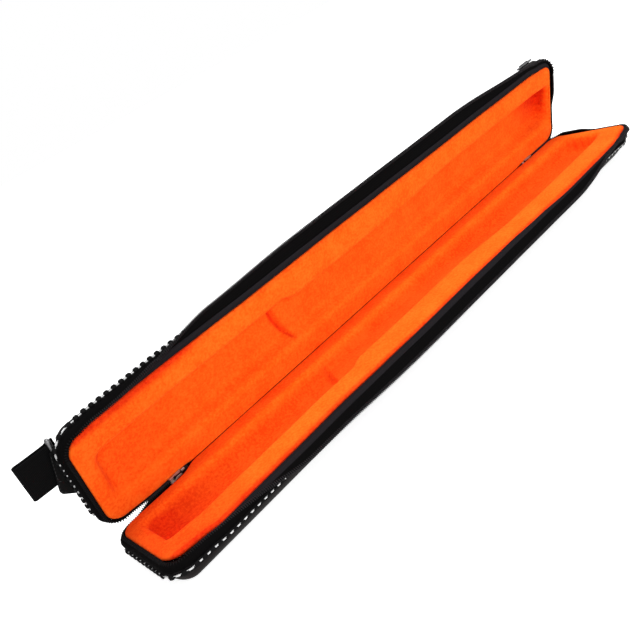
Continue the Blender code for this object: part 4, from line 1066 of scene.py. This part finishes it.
def make_trim(sizes, tray, finishes):
    """Braid under the tape: a dark core with white and black woven blocks and a light thread."""
    quarter = CORNER * math.pi / 2
    start, end = quarter, rim_length(CORNER) - quarter
    core = braid_rod(tray, start, end, [(m * MM, d * MM) for m, d in BRAID_LINE])
    piece(tray + "_trim_core", core, finishes["core"], tray, [tray + "_trim"], sharp=50)
    periods = int((end - start) / sizes.trim_pitch)
    step = (end - start) / periods
    for name, offset, shape, out in (
            ("white", 0.25, cushion(3.3 * MM, 0.95 * MM, 0.8 * MM, 0.5), 5.2 * MM),
            ("black", 0.75, cushion(3.8 * MM, 3.3 * MM, 3.0 * MM, 0.55), 5.4 * MM)):
        places = []
        for i in range(periods):
            run = start + (i + offset) * step
            x, s = rim_at(run, CORNER)[:2]
            shade_and_shrink = ease((x - 12 * MM) / (20 * MM)) * ease((s - FREE_EDGE + CORNER) / CORNER)
            size = 1 - 0.45 * shade_and_shrink if (tray, name) == ("base", "black") else 1.0
            if name == "white":
                size += 0.5 * ease((CORNER - x) / CORNER)
            places.append(rim_frame(tray, run, CORNER, (out, BRAID_DEPTH), (out, BRAID_DEPTH + MM))
                          @ Matrix.Diagonal((1, size, size, 1)))
        piece(f"{tray}_trim_{name}", repeat(shape, places), finishes[name], tray)
    m, d, radius = (value * MM for value in THREAD_AT)
    turns = [i * math.pi / 3 for i in range(6)] + [0.0]
    section = [(m + radius * math.cos(a), d + radius * math.sin(a)) for a in turns]
    piece(tray + "_trim_thread", braid_rod(tray, start, end, section), finishes["thread"], tray)


def make_spine(finish):
    """Cloth hinge: a strip up the base's back, out round the hinge line and down the lid's back."""
    inset, near, bulge = 60.7 * MM, 0.75 * MM, 2.8 * MM
    depths = [mix(14.5 * MM, 5.0 * MM, i / 8) for i in range(9)]
    wall = [(near, depth) for depth in depths] + [(-0.9 * MM, 3.7 * MM)]
    columns = []
    count = 120
    for i in range(count + 1):
        x = mix(inset, LENGTH - inset, i / count)
        column = [place("base", x, *point) for point in wall]
        column.append(Vector((START_X + x, HINGE.y, HINGE.z)) + OUTWARD * bulge)
        column += [place("lid", x, *point) for point in reversed(wall)]
        columns.append(column)
    made = piece("spine_cloth", skin(columns), finish, None, ["spine"])
    thicken(made, 0.6 * MM)
    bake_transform(made)


def wall_lean(depth):
    """How far the cover's outer face has rounded inward at a depth."""
    rise = max(0.0, depth - (TRAY_DEPTH - COVER_ROUND)) / COVER_ROUND
    return COVER_ROUND * (1 - math.sqrt(1 - rise * rise))


def webbing_line():
    """The grab loop's middle line, from its sewn upper end out round the tip and back, as (x, depth)."""
    depth, reach, rise = NEAR_FITTINGS_DEPTH, 22.8 * MM, 0.8 * MM
    thick, gap, wire = 1.3 * MM, 1.0 * MM, BAR_WIRE
    half_gap = (gap + thick) / 2
    swell = wire + 0.3 * MM + thick / 2 - half_gap
    ring_at = -COVER_MARGIN + NEAR_RING_OUT
    tip = -COVER_MARGIN - reach
    upper, lower = [], []
    for side, line in ((-1, upper), (1, lower)):
        edge = depth + side * (half_gap + swell) - thick / 2
        root = wall_lean(edge) - COVER_MARGIN - 0.3 * MM
        places = [root] + [ring_at + wire * step for step in (1, 0, -1, -2, -3)]
        places += [mix(ring_at, tip, share) for share in (0.35, 0.6, 0.85, 1.0)]
        for x in places:
            share = (x - ring_at) / (tip - ring_at)
            near = math.exp(-((x - ring_at) / (2 * wire)) ** 2) if x < ring_at else 1.0
            line.append((x, depth + rise * max(0.0, share) ** 2 + side * (half_gap + swell * near)))
    fold = (tip - half_gap, depth + rise)
    return upper + [fold] + list(reversed(lower))


def make_webbing(sizes, finish):
    """Grab loop: one strap folded round the near ring's bar and sewn to the lid's end."""
    low, rows = LOOP_MIDDLE - sizes.webbing_width / 2, 17
    columns = []
    for x, d in smooth_line(webbing_line(), 90):
        columns.append([place("lid", x, low + sizes.webbing_width * i / (rows - 1), d) for i in range(rows)])
    made = piece("grab_loop", skin(columns), finish, "lid", ["webbing_loop"])
    thicken(made, 1.2 * MM)
    round_edges(made, 0.25 * MM)


def tube(points, radius, sides=12):
    """Closed tube through a ring of points, as a skinned grid."""
    count = len(points)
    middle = sum(points, Vector()) / count
    normal = (points[0] - middle).cross(points[count // 4] - middle).normalized()
    columns = []
    for i in range(count + 1):
        here = points[i % count]
        along = (points[(i + 1) % count] - points[(i - 1) % count]).normalized()
        side = along.cross(normal).normalized()
        columns.append([here + (side * math.cos(a) + normal * math.sin(a)) * radius
                        for a in [2 * math.pi * k / sides for k in range(sides)] + [0.0]])
    mesh = skin(columns)
    close_out(mesh)
    return mesh


def ring_outline(wire):
    """Centre line of a rounded rectangular ring, from the middle of its first bar."""
    half_long, half_wide, corner = RING_HALF - wire, 3.6 * MM - wire, 1.6 * MM
    steps = 8
    made = []
    for x, y, start in ((half_long, half_wide, 0), (-half_long, half_wide, 1),
                        (-half_long, -half_wide, 2), (half_long, -half_wide, 3)):
        centre_x, centre_y = x - math.copysign(corner, x), y - math.copysign(corner, y)
        for i in range(steps + 1):
            turn = (start + i / steps) * math.pi / 2
            made.append((centre_x + corner * math.cos(turn), centre_y + half_wide + corner * math.sin(turn)))
    return made


def edge_point(turn, outset):
    """A point off the lid's rounded free-side bottom edge; past a right angle it runs on along the bottom."""
    centre = FREE_EDGE + COVER_MARGIN - COVER_ROUND
    depth = TRAY_DEPTH - COVER_ROUND
    if turn > math.pi / 2:
        return centre - (turn - math.pi / 2) * COVER_ROUND, TRAY_DEPTH + outset
    return centre + (COVER_ROUND + outset) * math.cos(turn), depth + (COVER_ROUND + outset) * math.sin(turn)


def make_rings(sizes, finish):
    """Strap rings: the near one upright in the grab loop, the far one lying back from its tab."""
    wire = sizes.ring_wire
    x = -COVER_MARGIN + NEAR_RING_OUT
    points = [place("lid", x, NEAR_RING_MIDDLE + a, NEAR_FITTINGS_DEPTH - 0.5 * b)
              for a, b in ring_outline(wire)]
    piece("near_strap_ring", tube(points, wire), finish, "near_ring", ["near_ring"])
    turn, ply, wire = FAR_RING_TURN, 0.9 * MM, BAR_WIRE
    outset = ply + SEAM_GAP + wire
    first = edge_point(turn, outset)
    reach = 7.2 * MM - 2 * wire
    lean = turn - math.asin(reach / (COVER_ROUND + outset))
    toward = (Vector(edge_point(lean, 0.3 * MM + wire)) - Vector(first)).normalized()
    points = []
    for a, b in ring_outline(wire):
        b *= mix(0.4, 0.2, (a / RING_HALF) ** 2)
        points.append(place("lid", FAR_FITTINGS + 0.6 * a, first[0] + toward.x * b, first[1] + toward.y * b))
    piece("far_strap_ring", tube(points, wire), finish, "far_ring", ["far_ring"])


def stitch_line(name, points, finish, up, length=1.9 * MM, pitch=2.8 * MM):
    """A row of sewn stitches along a line of points."""
    shape = cushion(length, 0.5 * MM, 0.34 * MM, 0.8)
    places = []
    due = pitch / 2
    for low, high in zip(points, points[1:]):
        span = (high - low).length
        while due <= span:
            along = (high - low).normalized()
            side = up.cross(along).normalized()
            made = Matrix((along, side, along.cross(side))).transposed().to_4x4()
            made.translation = low.lerp(high, due / span)
            places.append(made)
            due += pitch
        due -= span
    piece(name, repeat(shape, places), finish, "lid")


def make_end_tab(finish, yarn):
    """Folded vinyl tab over the webbing's root, slanted below, with one rounded corner."""
    low, corner_at, high, depth, thick = 36.5 * MM, 46.0 * MM, 77.0 * MM, 9.9 * MM, 1.2 * MM
    reach, reach_high, radius = 10.4 * MM, 2.4 * MM, 3.0 * MM
    root = wall_lean(depth) - COVER_MARGIN - 0.3 * MM
    start, turn = Vector((-COVER_MARGIN, low)), Vector((-COVER_MARGIN - reach, corner_at))
    end = Vector((-COVER_MARGIN - reach_high, high))
    before = turn + (start - turn).normalized() * radius
    after = turn + (end - turn).normalized() * radius
    edge = [start.lerp(before, i / 8) for i in range(8)]
    edge += [before.lerp(turn, i / 10).lerp(turn.lerp(after, i / 10), i / 10) for i in range(10)]
    edge += [after.lerp(end, i / 24) for i in range(25)]
    rows = 9
    columns = [[place("lid", mix(root, x, k / (rows - 1)), s, depth + thick / 2) for k in range(rows)]
               for x, s in edge]
    made = piece("stitched_tab", skin(columns), finish, "lid", ["end_tab"])
    thicken(made, thick)
    round_edges(made, 0.35 * MM, 3)
    middle = sum(edge, Vector((0, 0))) / len(edge)
    inner = [point + (middle - point).normalized() * 1.8 * MM for point in edge[6:]]
    stitch_line("tab_stitches", [place("lid", x, s, depth - 0.05 * MM) for x, s in inner], yarn,
                place("lid", 0, 0, 0) - place("lid", 0, 0, 1))


def make_anchor(finish):
    """Folded tab sewn to the cover's bottom edge, with the far ring's bar in its fold."""
    thick = 0.8 * MM
    half = thick / 2
    under, bar = SEAM_GAP + half, SEAM_GAP + thick + SEAM_GAP + BAR_WIRE
    round_bar = BAR_WIRE + SEAM_GAP + half
    upper = under + thick + 0.3 * MM
    step = round_bar / (COVER_ROUND + bar)
    at = FAR_RING_TURN
    route = [(math.pi / 2 + 10 * MM / COVER_ROUND, under)]
    route += [(mix(math.pi / 2, at, i / 8), under) for i in range(9)]
    route += [(at - step * math.sin(math.pi * i / 6), bar - round_bar * math.cos(math.pi * i / 6))
              for i in range(1, 6)]
    route += [(at, bar + round_bar), (at + step, (bar + round_bar + upper) / 2)]
    route += [(at + step * i, upper) for i in (2, 3, 4)]
    line = smooth_line([edge_point(turn, outset) for turn, outset in route], 60)
    rows, width = 13, 13.0 * MM
    columns = [[place("lid", FAR_FITTINGS - width / 2 + width * i / (rows - 1), s, d) for i in range(rows)]
               for s, d in line]
    made = piece("ring_tab", skin(columns), finish, "lid", ["far_anchor"])
    thicken(made, thick * 0.95)


def make_hardware(finish):
    """Sliders, pulls and stops: the frame's own solids with softened edges."""
    for end in ("near", "far"):
        for part, body in (("slider", end + "_slider"), ("pull", end + "_pull"), ("zip_stop", "base")):
            node = f"{end}_{part}"
            mesh = bmesh.new()
            mesh.from_mesh(frame["nodes"][node].data)
            bmesh.ops.remove_doubles(mesh, verts=mesh.verts, dist=0.001 * MM)
            bmesh.ops.dissolve_limit(mesh, angle_limit=math.radians(1), verts=mesh.verts, edges=mesh.edges)
            made = piece(node + "_metal", mesh, finish, body, [node], sharp=35)
            round_edges(made, 0.12 * MM)


class BAG_OT_linings(bpy.types.Operator):
    """Makes the plush lining of both trays"""
    bl_idname = "flute_bag.linings"
    bl_label = "Linings"

    def execute(self, context):
        sizes = context.scene.flute_bag_tray
        finish = plush_finish(sizes.plush)
        for tray in ("base", "lid"):
            make_lining(sizes, tray, finish)
        return {"FINISHED"}


class BAG_OT_covers(bpy.types.Operator):
    """Makes the moulded covers and the foam inside them"""
    bl_idname = "flute_bag.covers"
    bl_label = "Covers"

    def execute(self, context):
        sizes = context.scene.flute_bag_tray
        vinyl = vinyl_finish("cover_vinyl", sizes.vinyl, 0.5, 0.06)
        foam = foam_finish((0.75, 0.73, 0.68))
        for tray in ("base", "lid"):
            make_cover(tray, vinyl)
            make_padding(tray, foam)
        return {"FINISHED"}


class BAG_OT_zip(bpy.types.Operator):
    """Makes the zip's tapes, turns and binding strips"""
    bl_idname = "flute_bag.zip"
    bl_label = "Zip"

    def execute(self, context):
        sizes = context.scene.flute_bag_zip
        tape = woven_finish("zip_tape_twill", sizes.tape, 0.55 * MM)
        nylon = nylon_finish("zip_nylon", (0.017, 0.0155, 0.017), 0.45)
        strip = woven_finish("binding_cloth", (0.012, 0.0105, 0.012), 0.4 * MM, 0.6)
        for tray in ("base", "lid"):
            make_tape(sizes, tray, tape)
            make_coil(sizes, tray, nylon)
            make_binding(tray, strip)
        return {"FINISHED"}


class BAG_OT_trim(bpy.types.Operator):
    """Makes the black and white braid under the zip"""
    bl_idname = "flute_bag.trim"
    bl_label = "Braid"

    def execute(self, context):
        sizes = context.scene.flute_bag_zip
        finishes = {
            "core": yarn_finish("braid_core", sizes.black_yarn),
            "white": yarn_finish("braid_white", sizes.white_yarn),
            "black": yarn_finish("braid_black", sizes.black_yarn),
            "thread": yarn_finish("braid_thread", (0.55, 0.55, 0.55)),
        }
        for tray in ("base", "lid"):
            make_trim(sizes, tray, finishes)
        return {"FINISHED"}


class BAG_OT_spine(bpy.types.Operator):
    """Makes the cloth that joins the trays"""
    bl_idname = "flute_bag.spine"
    bl_label = "Spine"

    def execute(self, context):
        make_spine(woven_finish("spine_weave", (0.005, 0.005, 0.0055), 0.6 * MM))
        return {"FINISHED"}


class BAG_OT_fittings(bpy.types.Operator):
    """Makes the grab loop, tabs, strap rings and zip hardware"""
    bl_idname = "flute_bag.fittings"
    bl_label = "Fittings"

    def execute(self, context):
        sizes = context.scene.flute_bag_fittings
        yarn = yarn_finish("stitching", (0.03, 0.03, 0.031))
        tab = vinyl_finish("tab_vinyl", (0.002, 0.002, 0.0021), 0.6, 0.04)
        make_webbing(sizes, woven_finish("webbing_weave", sizes.webbing, 0.9 * MM, 0.75, ribs=True))
        make_end_tab(tab, yarn)
        make_anchor(tab)
        make_rings(sizes, metal_finish("dull_nickel", sizes.nickel, 0.42))
        make_hardware(metal_finish("black_nickel", sizes.black_nickel, 0.35))
        return {"FINISHED"}


CAMERA_PLACE = (-0.3580, -0.4213, 0.2625)
CAMERA_AXES = ((0.65811051, -0.61523269, -0.43402683),
               (-0.57501828, -0.03856313, -0.81723122),
               (0.48604993, 0.78740181, -0.37914884))    # right, down and forward, in the frame's axes
CAMERA_LENS = 41.51
FLOOR_GLOW = 0.75                   # strength at which the floor looks white
FLOOR_HALF = 6.0
FLOOR_DROP = 0.3 * MM               # how far the floor lies below the bag
LIGHTS = (                          # name, place, aim, width in metres, share of the key light's power
    ("soft_key", (0.1, 0.0, 1.7), (0, 0, 0.03), 1.0, 1.0),
    ("soft_fill", (-0.7, -1.6, 0.45), (0, 0, 0.05), 1.6, 0.8),
    ("far_fill", (0.8, -1.6, 0.7), (0.1, 0, 0.05), 1.4, 0.3),
)


def seen_directly(tree):
    """1 for rays from the camera and for mirrored and passed ones, 0 for rays that light a surface."""
    path = tree.nodes.new("ShaderNodeLightPath")
    seen = path.outputs["Is Camera Ray"]
    for kind in ("Is Glossy Ray", "Is Transmission Ray"):
        either = tree.nodes.new("ShaderNodeMath")
        either.operation = "MAXIMUM"
        tree.links.new(seen, either.inputs[0])
        tree.links.new(path.outputs[kind], either.inputs[1])
        seen = either.outputs["Value"]
    return seen


def stage_finish(strength):
    """A pale floor that looks white to the camera, and keeps the object's shadow."""
    made = bpy.data.materials.new("pale_floor")
    made.use_nodes = True
    tree = made.node_tree
    shader = tree.nodes["Principled BSDF"]
    shader.inputs["Base Color"].default_value = (0.8, 0.8, 0.8, 1)
    shader.inputs["Roughness"].default_value = 0.9
    shader.inputs["Emission Color"].default_value = (1, 1, 1, 1)
    glow = tree.nodes.new("ShaderNodeMath")
    glow.operation = "MULTIPLY"
    glow.inputs[1].default_value = strength
    tree.links.new(seen_directly(tree), glow.inputs[0])
    tree.links.new(glow.outputs["Value"], shader.inputs["Emission Strength"])
    return made


def add_light(name, place_at, aim, size, power):
    data = bpy.data.lights.new(name, "AREA")
    data.shape = "DISK"
    data.size = size
    data.energy = power
    made = bpy.data.objects.new(name, data)
    made.location = place_at
    made.rotation_euler = (Vector(aim) - Vector(place_at)).to_track_quat("-Z", "Y").to_euler()
    bpy.context.scene.collection.objects.link(made)


class BAG_OT_stage(bpy.types.Operator):
    """Lays the floor and sets the camera and the lights"""
    bl_idname = "flute_bag.stage"
    bl_label = "Stage"

    def execute(self, context):
        stage = context.scene.flute_bag_stage
        scene = context.scene
        scene.view_settings.view_transform = "Standard"
        right, down, forward = (Vector(axis) for axis in CAMERA_AXES)
        turned = Matrix((right, -down, -forward)).transposed().to_4x4()
        turned.translation = CAMERA_PLACE
        data = bpy.data.cameras.new("photo_view")
        data.lens = CAMERA_LENS
        data.sensor_width = 36.0
        data.clip_start = 0.01
        camera = bpy.data.objects.new("photo_view", data)
        camera.matrix_world = turned
        scene.collection.objects.link(camera)
        scene.camera = camera

        mesh = bmesh.new()
        bmesh.ops.create_grid(mesh, x_segments=1, y_segments=1, size=FLOOR_HALF)
        bmesh.ops.translate(mesh, verts=mesh.verts, vec=(0, 0, -FLOOR_DROP))
        floor_data = bpy.data.meshes.new("floor")
        mesh.to_mesh(floor_data)
        mesh.free()
        floor_data.materials.append(stage_finish(FLOOR_GLOW))
        floor = bpy.data.objects.new("floor", floor_data)
        scene.collection.objects.link(floor)

        for name, place_at, aim, size, share in LIGHTS:
            add_light(name, place_at, aim, size, stage.key * share)

        world = bpy.data.worlds.new("surroundings")
        scene.world = world
        world.use_nodes = True
        tree = world.node_tree
        background = tree.nodes["Background"]
        bright = tree.nodes.new("ShaderNodeMapRange")
        bright.inputs["To Min"].default_value = stage.world
        bright.inputs["To Max"].default_value = 1.0
        tree.links.new(seen_directly(tree), bright.inputs["Value"])
        tree.links.new(bright.outputs["Result"], background.inputs["Strength"])
        background.inputs["Color"].default_value = (1, 1, 1, 1)
        return {"FINISHED"}


class BAG_PT_panel(bpy.types.Panel):
    """Lists the bag's pieces and sizes"""
    bl_label = "Flute bag"
    bl_idname = "BAG_PT_panel"
    bl_space_type = "VIEW_3D"
    bl_region_type = "UI"
    bl_category = "Flute bag"

    def draw(self, context):
        layout = self.layout
        for operator in OPERATORS:
            layout.operator(operator.bl_idname)
        for name, _ in GROUPS:
            group = getattr(context.scene, name)
            box = layout.box()
            for value in group.__annotations__:
                box.prop(group, value)


GROUPS = (("flute_bag_tray", BagTray), ("flute_bag_zip", BagZip), ("flute_bag_fittings", BagFittings),
          ("flute_bag_stage", BagStage))
OPERATORS = (BAG_OT_stage, BAG_OT_linings, BAG_OT_covers, BAG_OT_zip, BAG_OT_trim, BAG_OT_spine,
             BAG_OT_fittings)


def register():
    for name, group in GROUPS:
        bpy.utils.register_class(group)
        setattr(bpy.types.Scene, name, PointerProperty(type=group))
    for operator in OPERATORS:
        bpy.utils.register_class(operator)
    bpy.utils.register_class(BAG_PT_panel)


def unregister():
    bpy.utils.unregister_class(BAG_PT_panel)
    for operator in reversed(OPERATORS):
        bpy.utils.unregister_class(operator)
    for name, group in reversed(GROUPS):
        delattr(bpy.types.Scene, name)
        bpy.utils.unregister_class(group)


def main():
    register()
    for step in (bpy.ops.flute_bag.stage, bpy.ops.flute_bag.linings, bpy.ops.flute_bag.covers,
                 bpy.ops.flute_bag.zip, bpy.ops.flute_bag.trim, bpy.ops.flute_bag.spine,
                 bpy.ops.flute_bag.fittings):
        step()


if __name__ == "__main__":
    main()
